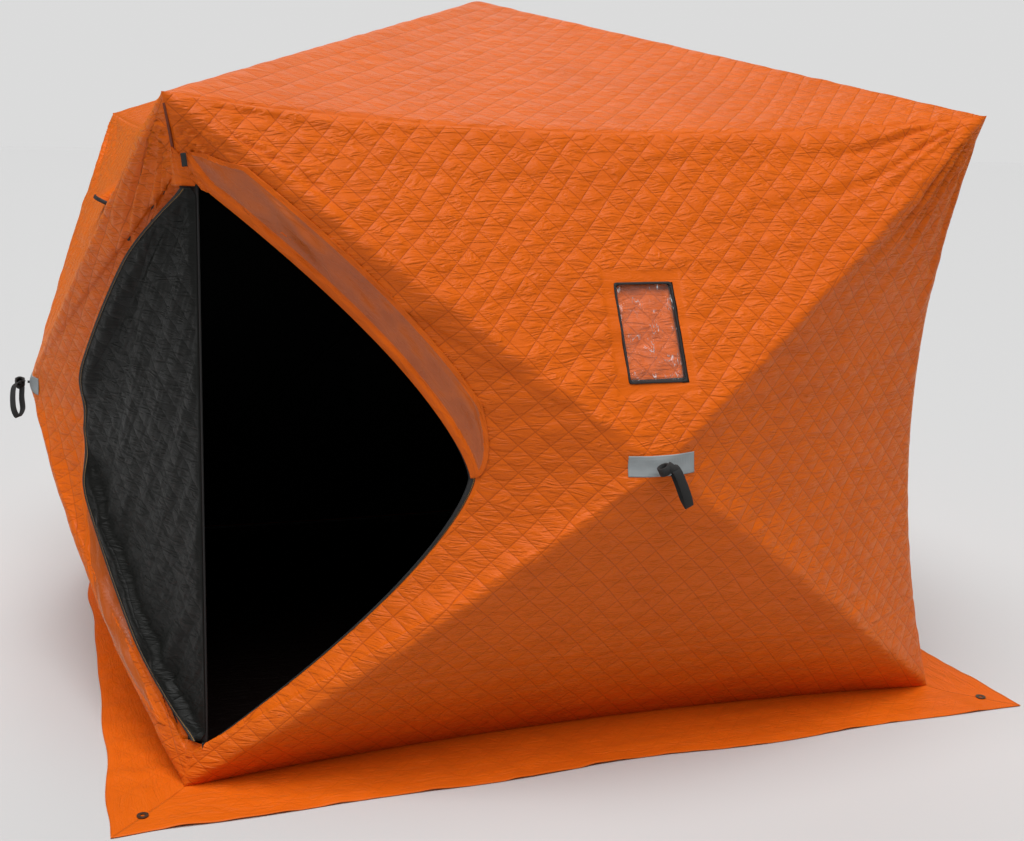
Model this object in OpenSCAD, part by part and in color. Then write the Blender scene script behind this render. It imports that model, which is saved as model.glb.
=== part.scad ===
// Pop-up ice fishing hut: a square quilted fabric shell held taut by sprung poles.
// Each wall and the roof has a hub that pushes outward and poles that run from it to the corners.
// A door with two curved zips wraps one corner. Its right half is folded back over its left half.
// Units are millimetres. The ground is z = 0, the front wall faces -Y and the door corner is at -X -Y.

/* [Shell] */
// Half the width between the walls' bottom corners
base_half = 1100; // [900:1:1300]
// Half the width between the walls' top corners
top_half = 1105; // [900:10:1300]
// Height of the top corners
corner_z = 1680; // [1560:4:2016]
// Height of the roof's peak
peak_z = 2040; // [1990:10:2300]
// Distance of each wall's hub from the middle of the hut
hub_out = 1435; // [1360:5:1600]
// Height of the wall hubs
hub_z = 840; // [760:10:960]
// Thickness of the quilted fabric
fabric = 5; // [3:0.5:8]
// Inward sweep of each corner edge, along the diagonal
corner_inset = 115; // [60:5:160]
// Inward sweep of the bottom edges
base_inset = 75; // [40:5:110]
// Inward sweep of the eaves
eave_inset = 55; // [30:5:90]
// Downward sweep of the eaves
eave_drop = 65; // [30:5:90]
// Outward bow of the upper wall poles
upper_bow = 10; // [0:1:30]
// Outward bow of the lower wall poles
lower_bow = 45; // [10:1:60]

/* [Skirt and floor] */
// Width of the skirt that lies on the snow
skirt_w = 185; // [120:5:240]
// Thickness of the skirt
skirt_t = 4; // [2:0.5:6]
// Thickness of the floor sheet
floor_t = 3; // [2:0.5:4]
// Distance of each anchor eyelet from the wall's corner, along the mitre
eyelet_run = 150; // [110:5:200]
// Radius of the hole in an anchor eyelet
eyelet_hole_r = 6; // [4:0.5:8]

/* [Poles and hubs] */
// Radius of the poles
pole_r = 5; // [4:0.5:7]
// Radius of the hub balls
hub_r = 32; // [26:1:40]
// Radius of the corner balls that the poles end in
corner_ball_r = 20; // [16:1:26]
// Radius of the bolt through each hub
bolt_r = 4; // [3:0.5:5]

/* [Door] */
// Height of the door's foot
door_foot_z = 108; // [90:2:140]
// Height of the door's top
door_top_z = 1485; // [1400:5:1540]
// Reach of the door's curved edge from the fold line
door_reach = 640; // [500:4:768]
// Exponent of the door's curved edge
door_curve = 1.4; // [1.3:0.05:1.8]
// Distance of the fold line from the corner
fold_shift = 40; // [20:1:60]
// Gap between the door flap's edge and the edge it closes on
flap_gap = 15; // [10:0.5:18]
// Direction of the folded flap, seen from above
flap_fold_dir = 113; // [111:0.5:118]
// Extra turn of the folded flap's ends
flap_twist = 10; // [8:1:14]
// Radius of the bead along the fold line
bead_r = 4; // [3:0.5:5]
// How far the left half hangs behind the folded flap
half_sag = 24; // [20:1:30]
// Width of the zip tape
zip_w = 12; // [8:1:16]
// Width of the strips that cover the zips
cover_w = 70; // [40:2:90]

/* [Windows and vent] */
// Width of each window
window_w = 146; // [100:2:300]
// Height of each window
window_h = 220; // [160:2:300]
// Height of the windows' lower edge
window_z = 1030; // [1000:2:1100]
// Sideways offset of each window
window_x = 20; // [-40:1:40]
// Width of the window's edging
edging_w = 6; // [5:1:16]
// Width of the vent hood
vent_w = 250; // [160:5:300]
// Length of the vent hood, down the wall
vent_drop = 80; // [60:5:110]
// Reach of the vent hood from the wall
vent_reach = 45; // [30:1:60]

/* [Hub straps] */
// Width of the reflective patch on each wall hub
patch_w = 176; // [120:4:200]
// Height of the reflective patch
patch_h = 50; // [40:2:70]
// Thickness of the reflective patch
patch_t = 1.5; // [1:0.5:3]
// Width of the pull strap's webbing
strap_w = 22; // [16:1:30]
// Thickness of the webbing
strap_t = 3; // [2:0.5:4]
// Length of the strap's hanging tail
strap_tail = 95; // [60:5:130]
// Reach of the strap from the hub
strap_out = 38; // [34:1:50]

/* [Hidden] */

shell_orange = "darkorange";
trim_black = "dimgray";
seam = 0.2;
clearance = 0.3;
// Rows and columns of points on a gore, and columns along the door's curve
rows = 8;
cols = 12;
door_cols = 14;
// Radius of the hole in the fabric around each wall hub's bolt
hub_hole_r = 8;
// How far the wall hubs' bolts stand out of the fabric
bolt_out = 6;
// How far the patches stand off the fabric's seams
patch_lift = 1.8;
// Height of the walls' bottom edges
base_z = skirt_t + clearance;
// Direction of the closed flap, seen from above
closed_dir = -16.3;
// Thicknesses of the zip tapes and their covers, and the gap under each
zip_t = 2;
cover_t = 1.5;
zip_lift = 0.8;
// Share of the door's height that the flap leaves free at each end
flap_end = 0.05;
// Direction from which the door's left half meets the bead, and half the angle it covers there
root_dir = 45;
root_turn = 25;
// How far the skirt's inner edge reaches in under the wall
tuck = 12;
// Depth of the corner balls below the fabric's corners, and height of the lower ones
ball_depth = fabric + corner_ball_r + 9;
foot_z = floor_t + clearance + corner_ball_r;
// Width and rise of the rim around each anchor eyelet
rim_w = 4;
rim_rise = 1.5;
// How far the window's edging stands off the fabric on either side
edging_rise = 1.2;
// Size of the knot at the top of each pull strap, and the radius of its corners
knot = 24;
knot_round = 5;
// Lean of each strap's tail from the vertical
strap_lean = 18;

// ---- curves that the panels share; d is the depth below the outer face ----

function unit(v) = v / norm(v);
function mix(p, q, k) = p + (q - p) * k;
function belly(k) = 4 * k * (1 - k);
function steps(n) = [for (i = [0:n]) i / n];

function top_corner(side, d) = [side * (top_half - d), -(top_half - d), corner_z - d];
function base_corner(side, d) = [side * (base_half - d), -(base_half - d), base_z];
function hub_point(d) = [0, -(hub_out - d), hub_z];
function peak_point(d) = [0, 0, peak_z - d];

function corner_edge(side, t, d) =
    mix(base_corner(side, d), top_corner(side, d), t)
    + belly(t) * corner_inset / sqrt(2) * [-side, 1, 0];
function eave_edge(t, d) =
    mix(top_corner(-1, d), top_corner(1, d), t) + belly(t) * [0, eave_inset, -eave_drop];
function base_edge(t, d) =
    mix(base_corner(-1, d), base_corner(1, d), t) + belly(t) * [0, base_inset, 0];

function corner_t(z) = (z - base_z) / (corner_z - base_z);
function side_bow(t) = lower_bow + (upper_bow - lower_bow) * t;

// ---- the door's outline on the front wall ----

function fold_end(z, d) =
    corner_edge(-1, corner_t(z), d) + fold_shift * [cos(closed_dir), sin(closed_dir), 0];
function fold_line(u, d) = mix(fold_end(door_foot_z, d), fold_end(door_top_z, d), u);
function door_r(u) = door_reach * (1 - pow(abs(2 * u - 1), door_curve));
function door_edge(u, d) =
    fold_line(u, d) + door_r(u) * [cos(closed_dir), sin(closed_dir), 0];

// The door-side gore's edge: the corner below the door, the door's curve, the corner above it
function cut_edge(d) = concat(
    [corner_edge(-1, 0, d), corner_edge(-1, corner_t(door_foot_z) * 0.9, d)],
    [for (u = steps(door_cols)) door_edge(u, d)],
    [for (k = [0.06, 0.5, 1]) corner_edge(-1, mix(corner_t(door_top_z), 1, k), d)]);
function door_bow(u) =
    side_bow(u) * norm(door_edge(u, 0) - hub_point(0)) / norm(fold_line(u, 0) - hub_point(0));
function cut_bows() = concat(
    [side_bow(0), side_bow(0)],
    [for (u = steps(door_cols)) door_bow(u)],
    [upper_bow, upper_bow, upper_bow]);

// ---- a closed sheet between two grids of points ----

function pulled(p, q, gap) = p + gap * unit(q - p);
function trimmed_row(r) = let (n = len(r) - 1)
    [for (j = [0:n]) j == 0 ? pulled(r[0], r[1], seam) : j == n ? pulled(r[n], r[n - 1], seam) : r[j]];
function trimmed(g) = let (n = len(g) - 1, rows_in = [for (r = g) trimmed_row(r)])
    [for (i = [0:n]) i < n ? rows_in[i]
        : [for (j = [0:len(g[n]) - 1]) pulled(rows_in[n][j], rows_in[n - 1][j], seam)]];

// Straight lines from a hub's bolt hole to an edge, bowed outward between the two
function on_gore(hub, e, bow, s) = mix(hub, e, s) + [0, -belly(s) * bow, 0];
function row_s(hub, e, i) = mix(hub_hole_r / norm(e - hub), 1, i / rows);
function gore_grid(hub, edge, bows) =
    [for (i = [0:rows])
        [for (j = [0:len(edge) - 1]) on_gore(hub, edge[j], bows[j], row_s(hub, edge[j], i))]];

function quad(a, b, c, e, flip) = flip ? [[a, c, b], [a, e, c]] : [[a, b, c], [a, c, e]];

module sheet(outer, inner) {
    m = len(outer) - 1;
    n = len(outer[0]) - 1;
    stride = n + 1;
    back = (m + 1) * stride;
    ic = floor(m / 2);
    jc = floor(n / 2);
    along = cross(outer[ic + 1][jc] - outer[ic][jc], outer[ic][jc + 1] - outer[ic][jc]);
    flip = along * (outer[ic][jc] - inner[ic][jc]) > 0;
    faces = [
        for (i = [0:m - 1], j = [0:n - 1]) let (a = i * stride + j)
            each concat(quad(a, a + stride, a + stride + 1, a + 1, flip),
                        quad(back + a, back + a + 1, back + a + stride + 1, back + a + stride, flip)),
        for (i = [0:m - 1]) let (a = i * stride, b = a + n)
            each concat(quad(a, back + a, back + a + stride, a + stride, flip),
                        quad(b, b + stride, back + b + stride, back + b, flip)),
        for (j = [0:n - 1]) let (a = j, b = m * stride + j)
            each concat(quad(a, a + 1, back + a + 1, back + a, flip),
                        quad(b, back + b, back + b + 1, b + 1, flip))
    ];
    polyhedron(points = concat([for (r = outer) each r], [for (r = inner) each r]), faces = faces);
}

// Turns a front-wall shape to the front (0), right (1), back (2) or left (3) wall
module on_wall(k) {
    rotate([0, 0, 90 * k]) children();
}

// ---- roof and wall panels ----

module gore(hub_o, edge_o, hub_i, edge_i, bows) {
    sheet(trimmed(gore_grid(hub_o, edge_o, bows)), trimmed(gore_grid(hub_i, edge_i, bows)));
}

module roof_gore(k) {
    flat = [for (t = steps(cols)) 0];
    color(shell_orange) on_wall(k)
        gore(peak_point(0), [for (t = steps(cols)) eave_edge(t, 0)],
             peak_point(fabric), [for (t = steps(cols)) eave_edge(t, fabric)], flat);
}

module top_sheet(d0, d1) {
    bows = [for (t = steps(cols)) upper_bow];
    gore(hub_point(d0), [for (t = steps(cols)) eave_edge(t, d0)],
         hub_point(d1), [for (t = steps(cols)) eave_edge(t, d1)], bows);
}

module window_prism(grow) {
    translate([window_x, -hub_out, window_z + window_h / 2]) rotate([-90, 0, 0])
        linear_extrude(hub_out - base_half + 200)
            square([window_w + 2 * grow, window_h + 2 * grow], center = true);
}

module wall_top(k, window = true) {
    color(shell_orange) on_wall(k) difference() {
        top_sheet(0, fabric);
        if (window) window_prism(edging_w + clearance);
    }
}

module wall_bottom(k) {
    bows = [for (t = steps(cols)) lower_bow];
    color(shell_orange) on_wall(k)
        gore(hub_point(0), [for (t = steps(cols)) base_edge(t, 0)],
             hub_point(fabric), [for (t = steps(cols)) base_edge(t, fabric)], bows);
}

module wall_side(k, side) {
    color(shell_orange) on_wall(k)
        gore(hub_point(0), [for (t = steps(cols)) corner_edge(side, t, 0)],
             hub_point(fabric), [for (t = steps(cols)) corner_edge(side, t, fabric)],
             [for (t = steps(cols)) side_bow(t)]);
}

// The gore beside the door: side -1 on the front wall, its mirror image on the left wall
module wall_door_side(k, side) {
    color(shell_orange) on_wall(k) scale([-side, 1, 1])
        gore(hub_point(0), cut_edge(0), hub_point(fabric), cut_edge(fabric), cut_bows());
}

// ---- windows and vent ----

module window_pane(k) {
    color("lightblue", 0.5) on_wall(k) intersection() {
        top_sheet(fabric * 0.3, fabric * 0.6);
        window_prism(-clearance);
    }
}

module window_binding(k) {
    color(trim_black) on_wall(k) difference() {
        intersection() {
            top_sheet(-edging_rise, fabric + edging_rise);
            window_prism(edging_w);
        }
        window_prism(0);
    }
}

// A sloping flap with a cheek at each end; vent_s is its place between the hub and the eave
module vent_hood() {
    vent_s = 0.79;
    lift = 5;
    sheet_t = 3;
    sideways = -50;
    run = eave_edge(0.5, 0) - hub_point(0);
    slope = atan2(run[1], run[2]);
    tip = -vent_reach;
    color(shell_orange) on_wall(3)
        translate(hub_point(0) + vent_s * run + [0, -belly(vent_s) * upper_bow, 0])
            rotate([-slope, 0, 0]) translate([sideways - vent_w / 2, -lift, -vent_drop]) {
                rotate([90, 0, 90]) linear_extrude(vent_w)
                    polygon([[0, vent_drop], [tip, 0], [tip + sheet_t, 0], [0, vent_drop - 2 * sheet_t]]);
                for (x = [0, vent_w - sheet_t])
                    translate([x, 0, 0]) rotate([90, 0, 90]) linear_extrude(sheet_t)
                        polygon([[0, vent_drop], [tip, 0], [0, 0]]);
            }
}

// ---- skirt and floor ----

module skirt(k) {
    inner = [for (t = steps(cols)) let (p = base_edge(t, tuck)) [p[0], p[1]]];
    tip = base_half + skirt_w;
    color(shell_orange) on_wall(k) difference() {
        linear_extrude(skirt_t) intersection() {
            polygon(concat(inner, [[tip, -tip], [-tip, -tip]]));
            polygon([[0, seam * 1.5], [2 * tip, seam * 1.5 - 2 * tip], [-2 * tip, seam * 1.5 - 2 * tip]]);
        }
        for (side = [-1, 1]) eyelet_place(side)
            cylinder(h = 4 * skirt_t, r = eyelet_hole_r + rim_w + clearance, center = true, $fn = 48);
    }
}

module eyelet_place(side) {
    run = base_half + eyelet_run / sqrt(2);
    translate([side * run, -run, 0]) children();
}

module eyelet() {
    difference() {
        union() {
            cylinder(h = skirt_t + clearance, r = eyelet_hole_r + rim_w, $fn = 48);
            translate([0, 0, skirt_t + clearance])
                cylinder(h = rim_rise, r = eyelet_hole_r + 2 * rim_w, $fn = 48);
        }
        cylinder(h = 4 * skirt_t, r = eyelet_hole_r, center = true, $fn = 48);
    }
}

module skirt_eyelets() {
    color("silver") for (k = [0:3]) on_wall(k) eyelet_place(-1) eyelet();
}

module floor_sheet() {
    outline = [for (k = [0:3], j = [0:cols - 1])
        let (p = base_edge(j / cols, tuck + 0.5), c = cos(90 * k), s = sin(90 * k))
            [p[0] * c - p[1] * s, p[0] * s + p[1] * c]];
    color(trim_black) linear_extrude(floor_t) polygon(outline);
}

// ---- poles, hubs and corner balls ----

pole_sides = 8;
pole_rings = 8;

function ball_top(side) = top_corner(side, ball_depth);
function ball_foot(side) = [side * (base_half - ball_depth), -(base_half - ball_depth), foot_z];
// Steepest slope of the fabric beside a wall hub, and the depth at which a ball just clears it
function fall(e) = (hub_out + e[1]) / norm([e[0], e[2] - hub_z]);
hub_slope = atan(max(fall(eave_edge(0.5, 0)), fall(base_edge(0.5, 0)), fall(corner_edge(1, 0.5, 0))));
roof_slope = atan((peak_z - eave_edge(0.5, 0)[2]) / -eave_edge(0.5, 0)[1]);
hub_depth = (fabric + hub_r + clearance) / cos(hub_slope);
wall_hub = hub_point(hub_depth);
roof_hub = peak_point((fabric + hub_r + clearance) / cos(roof_slope));

function bowed(p, q, bow, s) = mix(p, q, s) + belly(s) * bow;
function ring(p, dir) = let (u = unit(cross(dir, [0.31, 0.17, 0.93])), v = cross(dir, u))
    [for (i = [0:pole_sides - 1]) let (a = i * 360 / pole_sides) p + pole_r * (cos(a) * u + sin(a) * v)];

// A round bar along a bowed line from one ball's surface to another's
module pole(p, q, bow, r_p, r_q) {
    span = norm(q - p);
    tilt = pole_r * 4 * norm(bow) / span;
    s0 = (r_p + clearance + tilt) / span;
    s1 = 1 - (r_q + clearance + tilt) / span;
    stations = [for (i = [0:pole_rings]) mix(s0, s1, i / pole_rings)];
    rings = [for (s = stations)
        ring(bowed(p, q, bow, s), unit(bowed(p, q, bow, s + 0.01) - bowed(p, q, bow, s - 0.01)))];
    n = pole_sides;
    polyhedron(points = [for (r = rings) each r], faces = concat(
        [[for (a = [0:n - 1]) a]],
        [for (i = [0:pole_rings - 1], a = [0:n - 1]) let (b = (a + 1) % n)
            each [[i * n + a, (i + 1) * n + b, i * n + b], [i * n + a, (i + 1) * n + a, (i + 1) * n + b]]],
        [[for (a = [n - 1:-1:0]) pole_rings * n + a]]));
}

module wall_poles(k) {
    color(trim_black) on_wall(k) for (side = [-1, 1]) {
        pole(wall_hub, ball_top(side), [0, -upper_bow, 0], hub_r, corner_ball_r);
        pole(wall_hub, ball_foot(side), [0, -lower_bow, 0], hub_r, corner_ball_r);
    }
}

module roof_poles() {
    color(trim_black) for (k = [0:3]) on_wall(k)
        pole(roof_hub, ball_top(1), [0, 0, 0], hub_r, corner_ball_r);
}

// A hub ball with the bolt that holds the fabric, patch and strap; the bolt points along +Z here
module hub(bolt) {
    difference() {
        sphere(r = hub_r, $fn = 48);
        translate([0, 0, hub_r * 0.75]) cylinder(h = hub_r, r = hub_r, $fn = 48);
        translate([0, 0, -hub_r * 1.75]) cylinder(h = hub_r, r = hub_r, $fn = 48);
    }
    cylinder(h = bolt, r = bolt_r, $fn = 24);
}

module hubs() {
    color(trim_black) {
        for (k = [0:3]) on_wall(k) translate(wall_hub) rotate([90, 0, 0])
            hub(hub_depth + bolt_out);
        translate(roof_hub) hub(hub_r + 1);
    }
}

module corner_balls() {
    color(trim_black) for (k = [0:3]) on_wall(k) {
        translate(ball_top(-1)) sphere(r = corner_ball_r, $fn = 32);
        translate(ball_foot(-1)) sphere(r = corner_ball_r, $fn = 32);
    }
}

// ---- reflective patches and pull straps on the wall hubs ----

// The four-sided point of a wall around its hub, out to the gores' first row of points
module hub_point_sheet(d0, d1) {
    up = steps(cols);
    down = [for (t = up) 1 - t];
    bows = concat([for (t = up) side_bow(t)], [for (t = up) upper_bow],
                  [for (t = down) side_bow(t)], [for (t = down) lower_bow]);
    rim = function (d) concat([for (t = up) corner_edge(-1, t, d)], [for (t = up) eave_edge(t, d)],
                              [for (t = down) corner_edge(1, t, d)], [for (t = down) base_edge(t, d)]);
    keep = [for (j = [0:len(bows) - 1]) if (j % (cols + 1) < cols) j];
    m = len(keep);
    part_way = function (d) let (edge = rim(d), hub = hub_point(d))
        [for (j = keep) on_gore(hub, edge[j], bows[j], row_s(hub, edge[j], 1))];
    polyhedron(
        points = concat(part_way(d0), part_way(d1), [hub_point(d0), hub_point(d1)]),
        faces = [for (i = [0:m - 1]) let (j = (i + 1) % m)
            each [[i, j, 2 * m], [m + j, m + i, 2 * m + 1], [j, i, m + i], [j, m + i, m + j]]]);
}

module hub_patches() {
    color("silver") for (k = [0:3]) on_wall(k) difference() {
        intersection() {
            hub_point_sheet(-patch_t - patch_lift, -patch_lift);
            translate([0, -hub_out, hub_z]) cube([patch_w, 400, patch_h], center = true);
        }
        translate(wall_hub) rotate([90, 0, 0]) cylinder(h = 200, r = bolt_r + clearance, $fn = 24);
    }
}

// A knot of webbing on the hub's bolt with a flat tail hanging from it
module pull_straps() {
    start = bolt_out + clearance;
    round_at = knot / 2 - knot_round;
    color(trim_black) for (k = [0:3]) on_wall(k) translate([0, -hub_out - start, hub_z]) {
        hull() for (x = [-1, 1], z = [-1, 1], y = [knot_round, strap_out - start - knot_round])
            translate([x * round_at, -y, z * round_at]) sphere(r = knot_round, $fn = 12);
        translate([0, -(strap_out - start) / 2, 0]) rotate([0, strap_lean, 0])
            translate([-strap_w / 2, -strap_t / 2, -strap_tail - knot / 2])
                cube([strap_w, strap_t, strap_tail + knot / 2]);
    }
}

// ---- the door ----

// The flap folded back, as it rests; w runs from the fold line to the free edge
function flap_dir(u) = flap_fold_dir + flap_twist * pow(abs(2 * u - 1), 3);
function flap_point(u, w, side) = let (a = flap_dir(u), half = side * (w == 0 ? bead_r * 0.4 : fabric / 2))
    fold_line(u, 0) + mix(bead_r * 0.7, door_r(u) - flap_gap, w) * [cos(a), sin(a), 0]
    + half * [-sin(a), cos(a), 0];

module bead(u0, u1) {
    p = fold_line(u0, 0);
    run = fold_line(u1, 0) - p;
    translate(p) rotate([0, acos(run[2] / norm(run)), atan2(run[1], run[0])])
        cylinder(h = norm(run), r = bead_r, $fn = 24);
}

module door_flap() {
    us = [for (k = steps(door_cols)) mix(flap_end, 1 - flap_end, k)];
    color(trim_black) union() {
        sheet([for (w = steps(rows)) [for (u = us) flap_point(u, w, 1)]],
              [for (w = steps(rows)) [for (u = us) flap_point(u, w, -1)]]);
        bead(flap_end, 1 - flap_end);
    }
}

// The left half runs from the left wall's door edge, behind the folded flap, round to the bead
function flipped(p) = [p[1], p[0], p[2]];
function half_root(u, d) = let (a = root_dir + (d > 0 ? -root_turn : root_turn))
    fold_line(u, 0) + (bead_r + clearance) / cos(root_turn) * [cos(a), sin(a), 0];
function half_point(u, w, d) =
    let (e = flipped(door_edge(u, d)), back = fold_line(u, d) + half_sag * [0.92, 0.39, 0])
        w == 0 ? half_root(u, d) : mix(back, pulled(e, back, 3 * seam), w);

module door_left_half() {
    color(shell_orange) sheet(
        [for (w = steps(rows)) [for (u = steps(door_cols)) half_point(u, w, 0)]],
        [for (w = steps(rows)) [for (u = steps(door_cols)) half_point(u, w, fabric)]]);
}

// A strip on the front wall's outer face beside the door's curve, run away from it, lift off the face
function strip_point(u, run, lift) = let (e = door_edge(u, 0), hub = hub_point(0))
    on_gore(hub, e, door_bow(u), 1 - run / norm(e - hub)) - [0, lift, 0];

module edge_strip(first, last, w0, w1, lift0, lift1) {
    us = [for (k = [first:last]) k / door_cols];
    sheet([for (w = steps(2)) [for (u = us) strip_point(u, mix(w0, w1, w), lift1)]],
          [for (w = steps(2)) [for (u = us) strip_point(u, mix(w0, w1, w), lift0)]]);
}

module door_zips() {
    color(trim_black) {
        edge_strip(1, door_cols - 1, 1, 1 + zip_w, zip_lift, zip_lift + zip_t);
        on_wall(3) scale([-1, 1, 1])
            edge_strip(1, door_cols - 1, 1, 1 + zip_w, zip_lift, zip_lift + zip_t);
    }
}

module door_zip_covers() {
    lift = zip_lift + zip_t + zip_lift;
    color(shell_orange) {
        edge_strip(door_cols / 2, door_cols - 1, 4, cover_w, lift, lift + cover_t);
        on_wall(3) scale([-1, 1, 1])
            edge_strip(1, door_cols / 2, 4, cover_w, lift, lift + cover_t);
    }
}

roof_gore(0);  // roof_front
roof_gore(1);  // roof_right
roof_gore(2);  // roof_back
roof_gore(3);  // roof_left
wall_top(0);  // front_wall_top
wall_bottom(0);  // front_wall_bottom
wall_door_side(0, -1);  // front_wall_door_side
wall_side(0, 1);  // front_wall_far_side
wall_top(1);  // right_wall_top
wall_bottom(1);  // right_wall_bottom
wall_side(1, -1);  // right_wall_front_side
wall_side(1, 1);  // right_wall_back_side
wall_top(2);  // back_wall_top
wall_bottom(2);  // back_wall_bottom
wall_side(2, -1);  // back_wall_right_side
wall_side(2, 1);  // back_wall_left_side
wall_top(3, window = false);  // left_wall_top
wall_bottom(3);  // left_wall_bottom
wall_side(3, -1);  // left_wall_far_side
wall_door_side(3, 1);  // left_wall_door_side
skirt(0);  // skirt_front
skirt(1);  // skirt_right
skirt(2);  // skirt_back
skirt(3);  // skirt_left
skirt_eyelets();
floor_sheet();
wall_poles(0);  // front_poles
wall_poles(1);  // right_poles
wall_poles(2);  // back_poles
wall_poles(3);  // left_poles
roof_poles();
hubs();
corner_balls();
hub_patches();
pull_straps();
door_flap();
door_left_half();
door_zips();
door_zip_covers();
for (k = [0:2]) window_pane(k);  // window_panes
for (k = [0:2]) window_binding(k);  // window_edging
vent_hood();
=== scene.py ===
"""The looks of a pop-up ice fishing hut, made over its CAD frame.

The hut is a square shell of quilted fabric held taut by sprung poles. Each wall and the roof is one
sheet that runs from its hub out to its edges. Units are metres, the front wall faces -Y and the door
wraps the corner at -X -Y. Every wall is worked out as the front wall and turned about Z.
"""
import math

import bpy
import numpy as np
from bpy.props import FloatProperty, FloatVectorProperty, IntProperty, PointerProperty
from mathutils import Matrix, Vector
from mathutils.kdtree import KDTree


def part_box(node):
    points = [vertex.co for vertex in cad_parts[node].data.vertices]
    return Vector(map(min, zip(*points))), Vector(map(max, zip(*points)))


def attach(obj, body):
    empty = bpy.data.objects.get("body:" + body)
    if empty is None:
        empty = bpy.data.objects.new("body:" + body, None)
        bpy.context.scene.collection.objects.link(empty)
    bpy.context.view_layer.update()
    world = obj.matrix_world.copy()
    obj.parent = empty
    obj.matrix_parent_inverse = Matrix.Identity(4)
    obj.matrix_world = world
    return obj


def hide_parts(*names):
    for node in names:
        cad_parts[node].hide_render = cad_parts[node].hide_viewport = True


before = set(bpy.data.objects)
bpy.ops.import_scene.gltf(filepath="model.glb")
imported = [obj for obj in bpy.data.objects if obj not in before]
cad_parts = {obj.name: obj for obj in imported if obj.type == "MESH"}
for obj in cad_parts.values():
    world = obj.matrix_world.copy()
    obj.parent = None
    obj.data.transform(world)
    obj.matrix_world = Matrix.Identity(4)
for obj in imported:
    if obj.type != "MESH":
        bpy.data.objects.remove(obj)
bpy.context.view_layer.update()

bl_info = {
    "name": "Ice Fishing Hut",
    "version": (1, 0, 0),
    "blender": (4, 5, 0),
    "location": "3D View > Sidebar > Hut",
    "description": "Builds the fabric, trim and finishes of a pop-up ice fishing hut",
    "category": "Add Mesh",
}

WALLS = ["front", "right", "back", "left"]
SKIRT_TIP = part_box("skirt_front")[1][0]

FLAP_ENDS = (0.012, 0.988)  # shares of the fold line at which the flap starts and stops
TAPE_ROWS = 260  # sections along a zip tape
INTO_HUT = np.array([0.92, 0.39, 0])  # the way the left half sags

SATIN_THREADS = 5200.0  # radians of weave in a metre
SATIN_GLOSS = 0.16
FOLD_DEPTH = 0.004  # metres from a fold's foot to its crest
WEAVE_SHARE = 0.012  # the weave's height beside the folds'


def length(label, text, value):
    """A length in metres, shown with its unit."""
    return FloatProperty(name=label, description=text, default=value, unit="LENGTH", precision=4)


def colour(label, text, value):
    """A colour in linear values."""
    return FloatVectorProperty(name=label, description=text, default=value, subtype="COLOR",
                               size=3, min=0, max=1)


# ---- what a user would change ----

class HutShell(bpy.types.PropertyGroup):
    """Sizes of the fabric shell, the same as the frame's."""

    base_half: length("Base half width", "Half the width between the walls' bottom corners", 1.1)
    top_half: length("Top half width", "Half the width between the walls' top corners", 1.105)
    base_z: length("Base height", "Height of the walls' bottom edges", 0.0043)
    corner_z: length("Corner height", "Height of the top corners", 1.68)
    peak_z: length("Peak height", "Height of the roof's peak", 2.04)
    hub_out: length("Hub distance", "Distance of each wall's hub from the middle", 1.435)
    hub_z: length("Hub height", "Height of the wall hubs", 0.84)
    corner_inset: length("Corner sweep", "Inward sweep of each corner edge", 0.115)
    base_inset: length("Base sweep", "Inward sweep of the bottom edges", 0.075)
    eave_inset: length("Eave sweep", "Inward sweep of the eaves", 0.055)
    eave_drop: length("Eave drop", "Downward sweep of the eaves", 0.065)
    upper_bow: length("Upper bow", "Outward bow of the upper wall poles", 0.01)
    lower_bow: length("Lower bow", "Outward bow of the lower wall poles", 0.045)
    edge_round: length("Edge rounding", "Width of the rounded band beside each edge", 0.022)
    lining_depth: length("Lining depth", "Depth of the lining behind the outer cloth", 0.006)
    wall_cells: IntProperty(name="Wall cells", description="Cells across each wall", default=240)
    roof_cells: IntProperty(name="Roof cells", description="Cells across the roof", default=264)
    lining_cells: IntProperty(name="Lining cells", description="Cells across a lining", default=88)


class HutCloth(bpy.types.PropertyGroup):
    """Sizes of the quilting and the creases."""

    pitch: length("Quilt pitch", "Distance between parallel rows of quilting", 0.053)
    puff: length("Puff height", "Height of the puffs between the rows", 0.0015)
    crease: length("Crease height", "Height of the long soft creases", 0.0022)
    slack: FloatProperty(name="Slack", description="Cloth length for each length of wall", default=1.06)
    seam_z: length("Seam height", "Height of the level seam round the walls", 0.27)
    roof_seam: FloatProperty(name="Roof seam", description="Share of the way to the eaves", default=0.2)


class HutDoor(bpy.types.PropertyGroup):
    """Sizes of the door, its flap and its zips."""

    foot_z: length("Door foot", "Height of the door's foot", 0.108)
    top_z: length("Door top", "Height of the door's top", 1.485)
    reach: length("Door reach", "Reach of the curved edge from the fold line", 0.64)
    curve: FloatProperty(name="Door curve", description="Exponent of the curved edge", default=1.4)
    fold_shift: length("Fold shift", "Distance of the fold line from the corner", 0.04)
    closed_dir: FloatProperty(name="Closed direction", description="Degrees from +X", default=-16.3)
    folded_dir: FloatProperty(name="Folded direction", description="Degrees from +X", default=113.0)
    twist: FloatProperty(name="End twist", description="Extra turn of the flap's ends", default=10.0)
    half_sag: length("Half sag", "How far the left half hangs behind the flap", 0.024)
    cover: length("Cover width", "Width of the strip that covers the right zip", 0.092)
    cover_left: length("Left cover width", "Width of the strip that covers the left zip", 0.078)
    peak: length("Cover peak", "How far the right cover runs on above the door", 0.055)


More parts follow.
